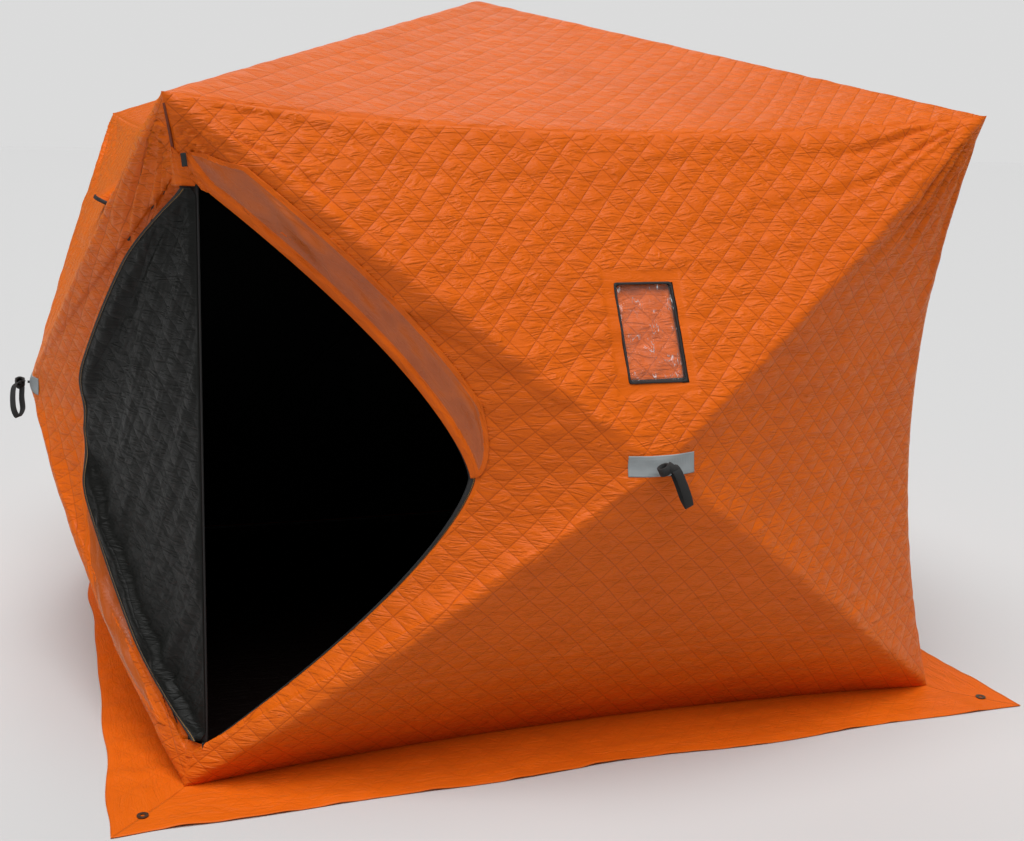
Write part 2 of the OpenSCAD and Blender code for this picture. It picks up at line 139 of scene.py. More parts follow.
class HutTrim(bpy.types.PropertyGroup):
    """Sizes of the windows, vent, patches and straps."""

    window_w: length("Window width", "Width of each window", 0.146)
    window_h: length("Window height", "Height of each window", 0.22)
    window_z: length("Window sill", "Height of the windows' lower edge", 1.03)
    window_x: length("Window offset", "Sideways offset of each window", 0.02)
    edging: length("Edging width", "Width of the windows' edging", 0.006)
    vent_w: length("Vent width", "Width of the vent hood", 0.25)
    vent_drop: length("Vent length", "Length of the hood down the wall", 0.08)
    vent_reach: length("Vent reach", "Reach of the hood's lip", 0.045)
    patch_w: length("Patch width", "Width of the patch on each hub", 0.176)
    patch_h: length("Patch height", "Height of the patch", 0.05)
    strap_w: length("Strap width", "Width of the pull strap", 0.022)
    strap_tail: length("Strap tail", "Length of the strap's hanging loop", 0.095)


class HutColours(bpy.types.PropertyGroup):
    """Colours of the cloths and the trim."""

    orange: colour("Orange", "Outer cloth", (0.74, 0.128, 0.005))
    orange_dark: colour("Dark orange", "Stitched rows and seams", (0.40, 0.056, 0.003))
    glow: colour("Glow", "Sheen of the outer cloth", (1.0, 0.42, 0.07))
    cover: colour("Cover", "Unlined orange strips", (0.47, 0.098, 0.014))
    black: colour("Black", "The flap's black cloth", (0.0075, 0.0078, 0.0068))
    # The lining colour also paints the dark floor sheet, which stands in for the shade on the ground inside
    # the hut.
    lining: colour("Lining", "Lining cloth and floor", (0.012, 0.006, 0.005))
    tape: colour("Tape", "Zip tape and webbing", (0.008, 0.008, 0.009))
    thread: colour("Thread", "Yellow thread", (0.62, 0.30, 0.02))
    patch: colour("Patch", "Reflective patch", (0.33, 0.36, 0.38))
    floor: colour("Floor", "Studio floor", (0.56, 0.56, 0.56))


def sizes(name):
    """One of the scene's groups of sizes."""
    return getattr(bpy.context.scene, name)


# ---- curves that the sheets share; the same formulas as the frame's ----

def unit(v):
    """v divided by its length."""
    return v / np.maximum(np.linalg.norm(v, axis=-1, keepdims=True), 1e-12)


def belly(k):
    """A parabola that is 0 at 0 and 1 and reaches 1 in the middle."""
    return 4 * k * (1 - k)


def smooth(k):
    """0 below 0, 1 above 1 and a smooth step between."""
    k = np.clip(k, 0, 1)
    return k * k * (3 - 2 * k)


def turned(points, k):
    """Points turned k quarter turns about Z: front, right, back, left."""
    x, y, z = points[..., 0], points[..., 1], points[..., 2]
    c, s = [(1, 0), (0, 1), (-1, 0), (0, -1)][k % 4]
    return np.stack([c * x - s * y, s * x + c * y, z], axis=-1)


def mirrored(points):
    """Points mirrored in the plane x = 0."""
    return points * np.array([-1.0, 1.0, 1.0])


def corner_edge(side, t, d=0.0):
    """Straight from the bottom corner to the top one, swept inward along the diagonal by a parabola."""
    g = sizes("hut_shell")
    t = np.asarray(t, float)[..., None]
    foot = np.array([side * (g.base_half - d), d - g.base_half, g.base_z])
    top = np.array([side * (g.top_half - d), d - g.top_half, g.corner_z - d])
    return foot + (top - foot) * t + belly(t) * g.corner_inset / math.sqrt(2) * np.array([-side, 1, 0])


def eave_edge(t, d=0.0):
    """Straight between the top corners, swept inward and down by a parabola."""
    g = sizes("hut_shell")
    t = np.asarray(t, float)[..., None]
    a = np.array([d - g.top_half, d - g.top_half, g.corner_z - d])
    sweep = np.array([0, g.eave_inset, -g.eave_drop])
    return a + t * np.array([2 * (g.top_half - d), 0, 0]) + belly(t) * sweep


def base_edge(t, d=0.0):
    """Straight between the bottom corners, swept inward by a parabola."""
    g = sizes("hut_shell")
    t = np.asarray(t, float)[..., None]
    a = np.array([d - g.base_half, d - g.base_half, g.base_z])
    return a + t * np.array([2 * (g.base_half - d), 0, 0]) + belly(t) * np.array([0, g.base_inset, 0])


def corner_t(z):
    """Share of the way up a corner edge."""
    g = sizes("hut_shell")
    return (z - g.base_z) / (g.corner_z - g.base_z)


def side_bow(t):
    """Bow of the side panels, from the lower poles' to the upper poles'."""
    g = sizes("hut_shell")
    return g.lower_bow + (g.upper_bow - g.lower_bow) * t


def heading(degrees):
    """A level direction, counted from +X towards +Y."""
    a = np.radians(degrees)
    return np.stack([np.cos(a), np.sin(a), np.zeros_like(a)], axis=-1)


def fold_line(u, d=0.0):
    """Straight between two points beside the corner, at the door's foot and top."""
    g = sizes("hut_door")
    shift = g.fold_shift * heading(np.array(g.closed_dir))
    foot = corner_edge(-1, corner_t(g.foot_z), d) + shift
    top = corner_edge(-1, corner_t(g.top_z), d) + shift
    return foot + (top - foot) * np.asarray(u, float)[..., None]


def door_r(u):
    """Reach of the door's curve: one less a power of the distance from its middle."""
    g = sizes("hut_door")
    return g.reach * (1 - np.abs(2 * u - 1) ** g.curve)


def door_edge(u, d=0.0):
    """The fold line moved by the reach along the closed door's direction."""
    g = sizes("hut_door")
    u = np.asarray(u, float)
    return fold_line(u, d) + door_r(u)[..., None] * heading(np.array(g.closed_dir))


def door_bow(u):
    """The side panel's bow, in proportion to the distance left between hub and door."""
    hub = np.array([0, -sizes("hut_shell").hub_out, sizes("hut_shell").hub_z])
    near = np.linalg.norm(door_edge(u) - hub, axis=-1)
    far = np.linalg.norm(fold_line(u) - hub, axis=-1)
    return side_bow(u) * near / far


def cut_edge(t, d=0.0):
    """The corner edge below and above the door, and the door's curve between."""
    g = sizes("hut_door")
    t = np.asarray(t, float)
    low, high = corner_t(g.foot_z), corner_t(g.top_z)
    u = np.clip((t - low) / (high - low), 0, 1)
    near = np.maximum((low - t) / (0.1 * low), (t - high) / (0.06 * (1 - high)))
    k = np.clip(1 - near, 0, 1)[..., None]
    corner = corner_edge(-1, t, d)
    ends = corner + k * g.fold_shift * heading(np.array(g.closed_dir))
    inside = ((t >= low) & (t <= high))[..., None]
    return np.where(inside, door_edge(u, d), ends)


def cut_bow(t):
    """The bow that goes with cut_edge."""
    g = sizes("hut_door")
    low, high = corner_t(g.foot_z), corner_t(g.top_z)
    u = np.clip((t - low) / (high - low), 0, 1)
    return np.where((t >= low) & (t <= high), door_bow(u), side_bow(t))


# ---- cloth: puffs, creases and smoothing ----

def waves(a, b, seed, lengths, spread, count=28):
    """A sum of sines whose wavelengths lie between two lengths and whose crests run along a, tilted
    by up to spread radians, each with its own phase."""
    rng = np.random.default_rng(seed)
    total = np.zeros(np.broadcast(a, b).shape)
    for size, tilt, phase in zip(rng.uniform(*lengths, count), rng.uniform(-spread, spread, count),
                                 rng.uniform(0, 2 * math.pi, count)):
        k = 2 * math.pi / size
        total += np.sin(k * (a * math.sin(tilt) + b * math.cos(tilt)) + phase)
    return total / math.sqrt(count)


def puffs(a, b, pitch):
    """A root of the product of two sines across the two slanting rows of quilting."""
    p = (a + b) / math.sqrt(2) / pitch
    q = (a - b) / math.sqrt(2) / pitch
    return np.abs(np.sin(math.pi * p) * np.sin(math.pi * q)) ** 0.7


def relaxed(points, passes):
    """Each inner point moved to the mean of itself and its four neighbours, a few times over."""
    p = points.copy()
    for _ in range(passes):
        p[1:-1, 1:-1] = (p[1:-1, 1:-1] * 2 + p[:-2, 1:-1] + p[2:, 1:-1] + p[1:-1, :-2] + p[1:-1, 2:]) / 6
    return p


def normals(points):
    """Unit cross product of the grid's two directions."""
    return unit(np.cross(np.gradient(points, axis=1), np.gradient(points, axis=0)))


def edge_cut(distance, taper):
    """Inward push that rounds an edge: a parabola over the rounded band, gone at the corners."""
    band = sizes("hut_shell").edge_round
    return 0.42 * band / 2 * np.clip(1 - distance / band, 0, 1) ** 2 * smooth(taper)


# ---- meshes ----

def make_piece(name, points, faces, uv=None, marks=None, material=None):
    """A mesh object at the origin from points, faces of any number of sides, a UV pair for each point
    and point values."""
    mesh = bpy.data.meshes.new(name)
    mesh.from_pydata(points.reshape(-1, 3).tolist(), [], faces if isinstance(faces, list) else faces.tolist())
    if uv is not None:
        layer = mesh.uv_layers.new(name="cloth")
        corners = np.empty(len(mesh.loops), dtype=np.int64)
        mesh.loops.foreach_get("vertex_index", corners)
        layer.data.foreach_set("uv", uv.reshape(-1, 2)[corners].astype(np.float32).ravel())
    for key, values in (marks or {}).items():
        mark = mesh.attributes.new(key, "FLOAT", "POINT")
        mark.data.foreach_set("value", values.astype(np.float32).ravel())
    mesh.polygons.foreach_set("use_smooth", np.ones(len(mesh.polygons), dtype=bool))
    mesh.update()
    piece = bpy.data.objects.new(name, mesh)
    bpy.context.scene.collection.objects.link(piece)
    if material:
        mesh.materials.append(material)
    return piece


def grid_faces(rows, cols, flip=False, across=False, along=False):
    """Quads of a grid of rows by cols points; across joins the last column to the first, and along
    the last row to the first."""
    i, j = np.meshgrid(np.arange(rows if along else rows - 1), np.arange(cols if across else cols - 1),
                       indexing="ij")
    i2, j2 = (i + 1) % rows, (j + 1) % cols
    quads = np.stack([i * cols + j, i * cols + j2, i2 * cols + j2, i2 * cols + j], axis=-1).reshape(-1, 4)
    return quads[:, ::-1] if flip else quads


def two_sided(front, back):
    """Points and faces of a closed sheet between two grids; front faces the way of its normals."""
    rows, cols = front.shape[:2]
    count = rows * cols
    top = grid_faces(rows, cols)
    under = grid_faces(rows, cols, flip=True) + count
    ids = np.arange(count).reshape(rows, cols)
    rim = np.concatenate([ids[0, :], ids[1:, -1], ids[-1, -2::-1], ids[-2:0:-1, 0]])
    following = np.roll(rim, -1)
    side = np.stack([rim, rim + count, following + count, following], axis=-1)
    return np.concatenate([front.reshape(-1, 3), back.reshape(-1, 3)]), np.concatenate([top, under, side])


def ribbon(path, width_dir, width, thick, name, material, closed=False):
    """A flat band carried along a path: a rounded slab section, its width along width_dir and its
    thickness square to both."""
    tangent = unit(np.gradient(path, axis=0))
    wide = unit(width_dir - tangent * np.sum(width_dir * tangent, axis=-1, keepdims=True))
    deep = np.cross(tangent, wide)
    a = np.array([-1, -0.94, 0, 0.94, 1, 0.94, 0, -0.94]) * width / 2
    b = np.array([0, 1, 1, 1, 0, -1, -1, -1]) * thick / 2
    rings = path[:, None] + a[None, :, None] * wide[:, None] + b[None, :, None] * deep[:, None]
    run = np.concatenate([[0], np.cumsum(np.linalg.norm(np.diff(path, axis=0), axis=1))])
    uv = np.stack(np.broadcast_arrays(run[:, None], a[None, :]), axis=-1)
    faces = grid_faces(len(path), len(a), across=True, along=closed).tolist()
    if not closed:
        first = list(range(len(a)))
        faces += [first[::-1], [n + len(a) * (len(path) - 1) for n in first]]
    return make_piece(name, rings, faces, uv, None, material)


def joined(pieces, name):
    """One object from several meshes that share a material."""
    keep = pieces[0]
    with bpy.context.temp_override(active_object=keep, object=keep, selected_editable_objects=pieces,
                                   selected_objects=pieces):
        bpy.ops.object.join()
    keep.name = name
    keep.data.name = name
    return keep


def solidify(piece, thick):
    """Gives a sheet its thickness, inward from its outer face."""
    shell = piece.modifiers.new("thickness", "SOLIDIFY")
    shell.thickness = thick
    shell.offset = -1


def area_of(piece):
    """Area of a mesh, in square metres."""
    values = np.empty(len(piece.data.polygons))
    piece.data.polygons.foreach_get("area", values)
    return float(values.sum())


def cloth(piece, body, node_names, flat, closed=False):
    """Lets a sheet ride on its body and hides the frame nodes that it stands for. It works out the mesh's own
    area, half of it where the sheet is closed, not a cut worked out apart from the mesh, and does nothing
    with it."""
    trim(piece, node_names, body)
    area = area_of(piece) / (2 if closed else 1)


def trim(piece, node_names=(), body="shell"):
    """Lets a small piece ride on its body and hides the frame nodes that it stands for."""
    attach(piece, body)
    if node_names:
        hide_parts(*node_names)


# ---- shader node groups ----

class Wires:
    """Adds nodes to a tree and links what is given to their inputs in order."""

    def __init__(self, tree):
        self.tree = tree

    def add(self, kind, *values, **settings):
        node = self.tree.nodes.new("ShaderNode" + kind)
        for key, value in settings.items():
            setattr(node, key, value)
        for socket, value in zip(node.inputs, values):
            self.put(socket, value)
        return node

    def put(self, socket, value):
        if value is None:
            return
        if isinstance(value, bpy.types.NodeSocket):
            self.tree.links.new(value, socket)
        else:
            socket.default_value = value

    def math(self, operation, *values):
        return self.add("Math", *values, operation=operation).outputs[0]

    def ramp(self, value, low, high, to_low=0.0, to_high=1.0):
        node = self.add("MapRange", value, low, high, to_low, to_high, interpolation_type="SMOOTHSTEP")
        return node.outputs[0]

    def noise(self, vector, scale, detail=2.0, roughness=0.5, distortion=0.0):
        node = self.add("TexNoise")
        self.put(node.inputs["Vector"], vector)
        self.put(node.inputs["Scale"], scale)
        self.put(node.inputs["Detail"], detail)
        self.put(node.inputs["Roughness"], roughness)
        self.put(node.inputs["Distortion"], distortion)
        return node.outputs[0]

    def stretched(self, vector, along, across):
        node = self.add("Mapping")
        self.put(node.inputs["Vector"], vector)
        self.put(node.inputs["Scale"], (along, across, 1.0))
        return node.outputs[0]

    def blend(self, factor, a, b):
        node = self.add("Mix", data_type="RGBA", clamp_factor=True)
        self.put(node.inputs[0], factor)
        self.put(node.inputs[6], a)
        self.put(node.inputs[7], b)
        return node.outputs[2]


def node_group(name, inputs, outputs, build):
    """A shader node group with named sockets, built once."""
    if name in bpy.data.node_groups:
        return bpy.data.node_groups[name]
    tree = bpy.data.node_groups.new(name, "ShaderNodeTree")
    for label, kind, value in inputs:
        socket = tree.interface.new_socket(label, in_out="INPUT", socket_type=kind)
        if value is not None:
            socket.default_value = value
    for label, kind in outputs:
        tree.interface.new_socket(label, in_out="OUTPUT", socket_type=kind)
    source = tree.nodes.new("NodeGroupInput")
    sink = tree.nodes.new("NodeGroupOutput")
    results = build(Wires(tree), source.outputs)
    for (label, _), value in zip(outputs, results):
        tree.links.new(value, sink.inputs[label])
    return tree


def quilting_group():
    """Slanting rows of stitches: a puff between them and a mask along them."""
    def build(w, given):
        part = w.add("SeparateXYZ", given["Vector"])
        x, y = part.outputs[0], part.outputs[1]
        rows = []
        for kind in ("ADD", "SUBTRACT"):
            run = w.math("DIVIDE", w.math(kind, x, y), w.math("MULTIPLY", given["Pitch"], math.sqrt(2)))
            rows.append(w.math("ABSOLUTE", w.math("SINE", w.math("MULTIPLY", run, math.pi))))
        puff = w.math("POWER", w.math("MULTIPLY", rows[0], rows[1]), 0.45)
        stitch = w.ramp(w.math("MINIMUM", rows[0], rows[1]), 0.0, given["Width"], 1.0, 0.0)
        return puff, stitch
    return node_group("Quilting", [("Vector", "NodeSocketVector", None), ("Pitch", "NodeSocketFloat", 0.05),
                                   ("Width", "NodeSocketFloat", 0.12)],
                      [("Puff", "NodeSocketFloat"), ("Stitch", "NodeSocketFloat")], build)


def crinkle_group():
    """Short level creases with sharp crests, from stretched noise, and finer ones across them."""
    def build(w, given):
        long_noise = w.noise(w.stretched(given["Vector"], 10.0, 46.0), 1.0, 3.0, 0.55, 0.9)
        crest = w.math("ABSOLUTE", w.math("SUBTRACT", long_noise, 0.5))
        sharp = w.ramp(crest, 0.0, 0.16, 1.0, 0.0)
        fine = w.noise(w.stretched(given["Vector"], 34.0, 110.0), 1.0, 2.0, 0.5, 0.5)
        height = w.math("ADD", w.math("MULTIPLY", sharp, 0.72), w.math("MULTIPLY", fine, 0.28))
        return height, w.noise(given["Vector"], 3.0, 3.0, 0.6)
    return node_group("Crinkle", [("Vector", "NodeSocketVector", None)],
                      [("Height", "NodeSocketFloat"), ("Tone", "NodeSocketFloat")], build)


def weave_group():
    """Threads over and under each other: the product of two fine sines."""
    def build(w, given):
        part = w.add("SeparateXYZ", given["Vector"])
        run = [w.math("SINE", w.math("MULTIPLY", part.outputs[n], given["Threads"])) for n in (0, 1)]
        return (w.math("MULTIPLY", run[0], run[1]),)
    return node_group("Weave", [("Vector", "NodeSocketVector", None), ("Threads", "NodeSocketFloat", 3000.0)],
                      [("Height", "NodeSocketFloat")], build)


def stitch_group():
    """Two rows of stitches at set distances across a strip, dashed along it."""
    def build(w, given):
        part = w.add("SeparateXYZ", given["Vector"])
        dash = w.math("GREATER_THAN", w.math("SINE", w.math("MULTIPLY", part.outputs[0], 1400.0)), -0.55)
        rows = []
        for key in ("First", "Second"):
            off = w.math("ABSOLUTE", w.math("SUBTRACT", part.outputs[1], given[key]))
            rows.append(w.math("LESS_THAN", off, given["Half width"]))
        return (w.math("MULTIPLY", w.math("MAXIMUM", *rows), dash),)
    given = [("Vector", "NodeSocketVector", None), ("First", "NodeSocketFloat", 0.004),
             ("Second", "NodeSocketFloat", 0.01), ("Half width", "NodeSocketFloat", 0.0006)]
    return node_group("Stitches", given, [("Mask", "NodeSocketFloat")], build)


# ---- materials ----

def new_material(name):
    """An empty material with its Principled shader, and the means to wire it."""
    material = bpy.data.materials.new(name)
    material.use_nodes = True
    tree = material.node_tree
    shader = next(n for n in tree.nodes if n.type == "BSDF_PRINCIPLED")
    return material, Wires(tree), shader


def use_group(w, tree, **values):
    """A group node with its inputs set by name, spaces for underscores."""
    node = w.tree.nodes.new("ShaderNodeGroup")
    node.node_tree = tree
    for key, value in values.items():
        w.put(node.inputs[key.replace("_", " ")], value)
    return node


def bump(w, shader, height, distance):
    """Raises the surface by height times distance."""
    node = w.add("Bump")
    node.inputs["Strength"].default_value = 1.0
    node.inputs["Distance"].default_value = distance
    w.put(node.inputs["Height"], height)
    w.put(shader.inputs["Normal"], node.outputs[0])


def dim(value, share):
    """A colour times a share."""
    return [channel * share for channel in value]


def lighter(value, share, lift):
    """A colour times a share, and raised by lift."""
    return [channel * share + lift for channel in value]


def rgba(value):
    """A colour with full alpha."""
    return (value[0], value[1], value[2], 1.0)


def quilted_cloth(name, main, dark, glow, roughness, crinkle, stitch_tone):
    """Satin cloth with slanting quilting, level crinkles and a fine weave."""
    material, w, shader = new_material(name)
    g = sizes("hut_cloth")
    uv = w.add("UVMap", uv_map="cloth").outputs[0]
    mark = w.add("Attribute", attribute_name="quilt").outputs["Fac"]
    rows = use_group(w, quilting_group(), Vector=uv, Pitch=g.pitch, Width=0.13)
    folds = use_group(w, crinkle_group(), Vector=uv)
    weave = use_group(w, weave_group(), Vector=uv, Threads=SATIN_THREADS)
    puff = w.math("MULTIPLY", rows.outputs["Puff"], mark)
    stitch = w.math("MULTIPLY", rows.outputs["Stitch"], mark)
    room = w.math("MULTIPLY_ADD", puff, 0.75, 0.25)
    height = w.math("MULTIPLY", w.math("MULTIPLY", folds.outputs["Height"], room), crinkle)
    height = w.math("ADD", height, w.math("MULTIPLY", puff, 0.22))
    height = w.math("ADD", height, w.math("MULTIPLY", weave.outputs["Height"], WEAVE_SHARE))
    bump(w, shader, height, FOLD_DEPTH)
    base = w.blend(w.math("MULTIPLY", stitch, stitch_tone), rgba(main), rgba(dark))
    tone = w.ramp(folds.outputs["Tone"], 0.3, 0.7, 0.0, 0.16)
    w.put(shader.inputs["Base Color"], w.blend(tone, base, rgba(dark)))
    satin(w, shader, folds, roughness, glow)
    return material


def satin(w, shader, folds, roughness, glow, gloss=SATIN_GLOSS):
    """Woven sheen in the colour of glow, a weak gloss, and smoother crests on the folds."""
    crests = w.ramp(folds.outputs["Height"], 0.2, 0.8, roughness + 0.08, roughness - 0.05)
    w.put(shader.inputs["Roughness"], crests)
    shader.inputs["Sheen Weight"].default_value = 0.3
    shader.inputs["Sheen Roughness"].default_value = 0.4
    shader.inputs["Sheen Tint"].default_value = rgba(glow)
    shader.inputs["Specular IOR Level"].default_value = gloss


def plain_cloth(name, main, dark, glow, roughness, crinkle, gloss=SATIN_GLOSS):
    """Unquilted satin cloth with crinkles and a fine weave."""
    material, w, shader = new_material(name)
    uv = w.add("UVMap", uv_map="cloth").outputs[0]
    folds = use_group(w, crinkle_group(), Vector=uv)
    weave = use_group(w, weave_group(), Vector=uv, Threads=SATIN_THREADS)
    height = w.math("ADD", w.math("MULTIPLY", folds.outputs["Height"], crinkle),
                    w.math("MULTIPLY", weave.outputs["Height"], WEAVE_SHARE))
    bump(w, shader, height, FOLD_DEPTH)
    tone = w.ramp(folds.outputs["Tone"], 0.3, 0.7, 0.0, 0.3)
    w.put(shader.inputs["Base Color"], w.blend(tone, rgba(main), rgba(dark)))
    satin(w, shader, folds, roughness, glow, gloss)
    return material


def stitched_tape(name, main, thread, first, second, threads=4200.0):
    """Woven tape with two rows of coloured stitches."""
    material, w, shader = new_material(name)
    uv = w.add("UVMap", uv_map="cloth").outputs[0]
    mask = use_group(w, stitch_group(), Vector=uv, First=first, Second=second).outputs[0]
    weave = use_group(w, weave_group(), Vector=uv, Threads=threads)
    tone = w.noise(uv, 60.0, 3.0)
    base = w.blend(w.ramp(tone, 0.3, 0.7, 0.0, 0.5), rgba(main), rgba(lighter(main, 1.8, 0.004)))
    w.put(shader.inputs["Base Color"], w.blend(mask, base, rgba(thread)))
    w.put(shader.inputs["Roughness"], w.ramp(tone, 0.2, 0.8, 0.5, 0.7))
    height = w.math("ADD", w.math("MULTIPLY", weave.outputs["Height"], 0.25), mask)
    bump(w, shader, height, 0.0006)
    return material


def clear_window(name):
    """Clear vinyl: see-through and glossy, with sharp wrinkles whose crests are painted white and opaque as
    painted glints.
    """
    material, w, shader = new_material(name)
    uv = w.add("UVMap", uv_map="cloth").outputs[0]
    wide = w.noise(w.stretched(uv, 52.0, 17.0), 1.0, 3.0, 0.5, 1.4)
    crest = w.ramp(w.math("ABSOLUTE", w.math("SUBTRACT", wide, 0.5)), 0.0, 0.045, 1.0, 0.0)
    height = w.math("ADD", w.math("MULTIPLY", crest, 0.5), wide)
    bump(w, shader, height, 0.006)
    # Painted highlight: the wrinkle crests are painted white, standing in for glints.
    w.put(shader.inputs["Base Color"], w.blend(crest, (0.75, 0.75, 0.75, 1), (1, 1, 1, 1)))
    w.put(shader.inputs["Roughness"], w.ramp(wide, 0.2, 0.8, 0.05, 0.12))
    shader.inputs["Specular IOR Level"].default_value = 0.8
    # Painted glints: in patches the white crests turn opaque, so they show as glints.
    painted_glint_share = w.ramp(w.noise(uv, 22.0, 2.0), 0.5, 0.66, 0.0, 0.75)
    w.put(shader.inputs["Alpha"], w.math("ADD", w.math("MULTIPLY", crest, painted_glint_share), 0.07))
    return material


def reflective(name):
    """Grey reflective cloth: a fine honeycomb of beads under a soft gloss."""
    material, w, shader = new_material(name)
    g = sizes("hut_colours")
    uv = w.add("UVMap", uv_map="cloth").outputs[0]
    cells = w.add("TexVoronoi", uv, feature="DISTANCE_TO_EDGE")
    cells.inputs["Scale"].default_value = 420.0
    edge = w.ramp(cells.outputs[0], 0.0, 0.12, 0.0, 1.0)
    tone = w.noise(uv, 30.0, 3.0)
    dark = rgba(dim(g.patch, 0.72))
    w.put(shader.inputs["Base Color"], w.blend(w.ramp(tone, 0.35, 0.7, 0.0, 0.5), rgba(g.patch), dark))
    w.put(shader.inputs["Roughness"], w.ramp(edge, 0.0, 1.0, 0.6, 0.36))
    bump(w, shader, w.math("ADD", w.math("MULTIPLY", edge, 0.1), tone), 0.0015)
    shader.inputs["Metallic"].default_value = 0.25
    return material


def moulded(name, main, roughness, metallic=0.0, grain=300.0):
    """Moulded or drawn stock with a fine grain and rubbed places."""
    material, w, shader = new_material(name)
    place = w.add("TexCoord").outputs["Object"]
    fine = w.noise(place, grain, 3.0)
    rub = w.noise(place, 9.0, 4.0, 0.6)
    w.put(shader.inputs["Base Color"],
          w.blend(w.ramp(rub, 0.45, 0.75, 0.0, 0.6), rgba(main), rgba(lighter(main, 1.5, 0.01))))
    w.put(shader.inputs["Roughness"], w.ramp(rub, 0.3, 0.7, roughness, roughness + 0.15))
    bump(w, shader, fine, 0.0003)
    shader.inputs["Metallic"].default_value = metallic
    return material


def studio_floor():
    """A plain pale floor."""
    material, _, shader = new_material("studio_floor")
    shader.inputs["Base Color"].default_value = rgba(sizes("hut_colours").floor)
    shader.inputs["Roughness"].default_value = 0.9
    return material


def material_for(key):
    """The finish of that name, made the first time it is asked for."""
    c = sizes("hut_colours")
    seam = dim(c.orange_dark, 0.4)
    makers = {
        "quilted_orange": (quilted_cloth, c.orange, c.orange_dark, c.glow, 0.44, 0.85, 0.6),
        "quilted_black": (quilted_cloth, c.black, dim(c.black, 0.3), dim(c.black, 3.0), 0.46, 0.5, 0.8),
        "lining": (quilted_cloth, c.lining, dim(c.lining, 0.4), dim(c.lining, 2.0), 0.6, 0.3, 0.8),
        "plain_orange": (plain_cloth, c.orange, c.orange_dark, c.glow, 0.42, 0.5),
        "cover_orange": (plain_cloth, c.cover, c.orange_dark, c.glow, 0.3, 0.1, 0.5),
        # Painted shade: a dark sheet in the lining colour stands in for the shade on the ground inside the
        # hut.
        "floor_cloth": (plain_cloth, c.lining, dim(c.lining, 0.5), dim(c.lining, 2.0), 0.5, 0.4),
        "zip_tape": (stitched_tape, c.tape, c.thread, 0.0095, 0.2),
        "edging": (stitched_tape, c.tape, c.tape, 0.0, 0.2),
        "seam_binding": (stitched_tape, seam, seam, 0.0, 0.2),
        "webbing": (stitched_tape, c.tape, c.tape, 0.008, -0.008, 1800.0),
        "clear_vinyl": (clear_window,),
        "reflective_patch": (reflective,),
        "pole": (moulded, (0.012, 0.012, 0.013), 0.3, 0.0, 500.0),
        "hub_plastic": (moulded, (0.016, 0.016, 0.017), 0.45),
        "eyelet_metal": (moulded, (0.16, 0.14, 0.11), 0.32, 0.9, 200.0),
        "zip_metal": (moulded, (0.03, 0.03, 0.03), 0.35, 0.6, 200.0),
    }
    if key in bpy.data.materials:
        return bpy.data.materials[key]
    make, *values = makers[key]
    return make(key, *values)


# ---- the walls and the roof ----

def square(cells):
    """A grid from -1 to 1 both ways, its distance from the middle, and where its rays end."""
    line = np.linspace(-1, 1, cells + 1)
    u, v = np.meshgrid(line, line)
    s = np.maximum(np.abs(u), np.abs(v))
    safe = np.maximum(s, 1e-9)
    return u, v, s, u / safe, v / safe


def snapped(t, cells):
    """Slides t along a door side so that two rows of the grid meet the door's foot and top."""
    g = sizes("hut_door")
    low, high = corner_t(g.foot_z), corner_t(g.top_z)
    marks = [0, round(low * cells) / cells, round(high * cells) / cells, 1]
    return np.interp(t, marks, [0, low, high, 1])


def wall_grid(cells, door, d, edge_d):
    """Each point lies on the straight ray from the hub to the wall's outline, moved outward by a
    parabola along the ray. d is the depth at the hub and edge_d at the outline."""
    g = sizes("hut_shell")
    u, v, s, eu, ev = square(cells)
    t, k = (1 + ev) / 2, (1 + eu) / 2
    left_t = snapped(t, cells) if door else t
    left = cut_edge(left_t, edge_d) if door else corner_edge(-1, t, edge_d)
    left_bow = cut_bow(left_t) if door else side_bow(t)
    level = np.abs(u) >= np.abs(v)
    edge = np.where((level & (u < 0))[..., None], left,
                    np.where((level & (u >= 0))[..., None], corner_edge(1, t, edge_d),
                             np.where((v > 0)[..., None], eave_edge(k, edge_d), base_edge(k, edge_d))))
    bow = np.where(level & (u < 0), left_bow, np.where(level, side_bow(t),
                                                       np.where(v > 0, g.upper_bow, g.lower_bow)))
    hub = np.array([0, d - g.hub_out, g.hub_z])
    points = hub + s[..., None] * (edge - hub)
    points[..., 1] -= belly(s) * bow
    ends = np.minimum(np.abs(eu), np.abs(ev))
    length_out = np.linalg.norm(edge - hub, axis=-1)
    return points, {"u": u, "v": v, "s": s, "eu": eu, "ev": ev, "level": level, "t": t,
                    "border": (1 - s) * length_out, "ridge": (1 - ends) * s * 0.8}


def in_window(points, grow):
    """True where a front-wall point lies over the window, grown by a margin."""
    g = sizes("hut_trim")
    x = np.abs(points[..., 0] - g.window_x) < g.window_w / 2 + grow
    z = np.abs(points[..., 2] - g.window_z - g.window_h / 2) < g.window_h / 2 + grow
    return x & z


def drift(a, b, seed):
    """A slow sideways wander of the quilting, in metres."""
    return 0.0035 * waves(a, b, seed, (0.25, 0.7), 1.5, 8)


def cloth_uv(points, seed):
    """Metres of cloth across and up, with a slow drift so that the rows aren't ruled lines."""
    g = sizes("hut_cloth")
    a, b = points[..., 0] * g.slack, points[..., 2] * g.slack
    return np.stack([a + drift(b, a, seed), b + drift(a, b, seed + 1)], axis=-1)


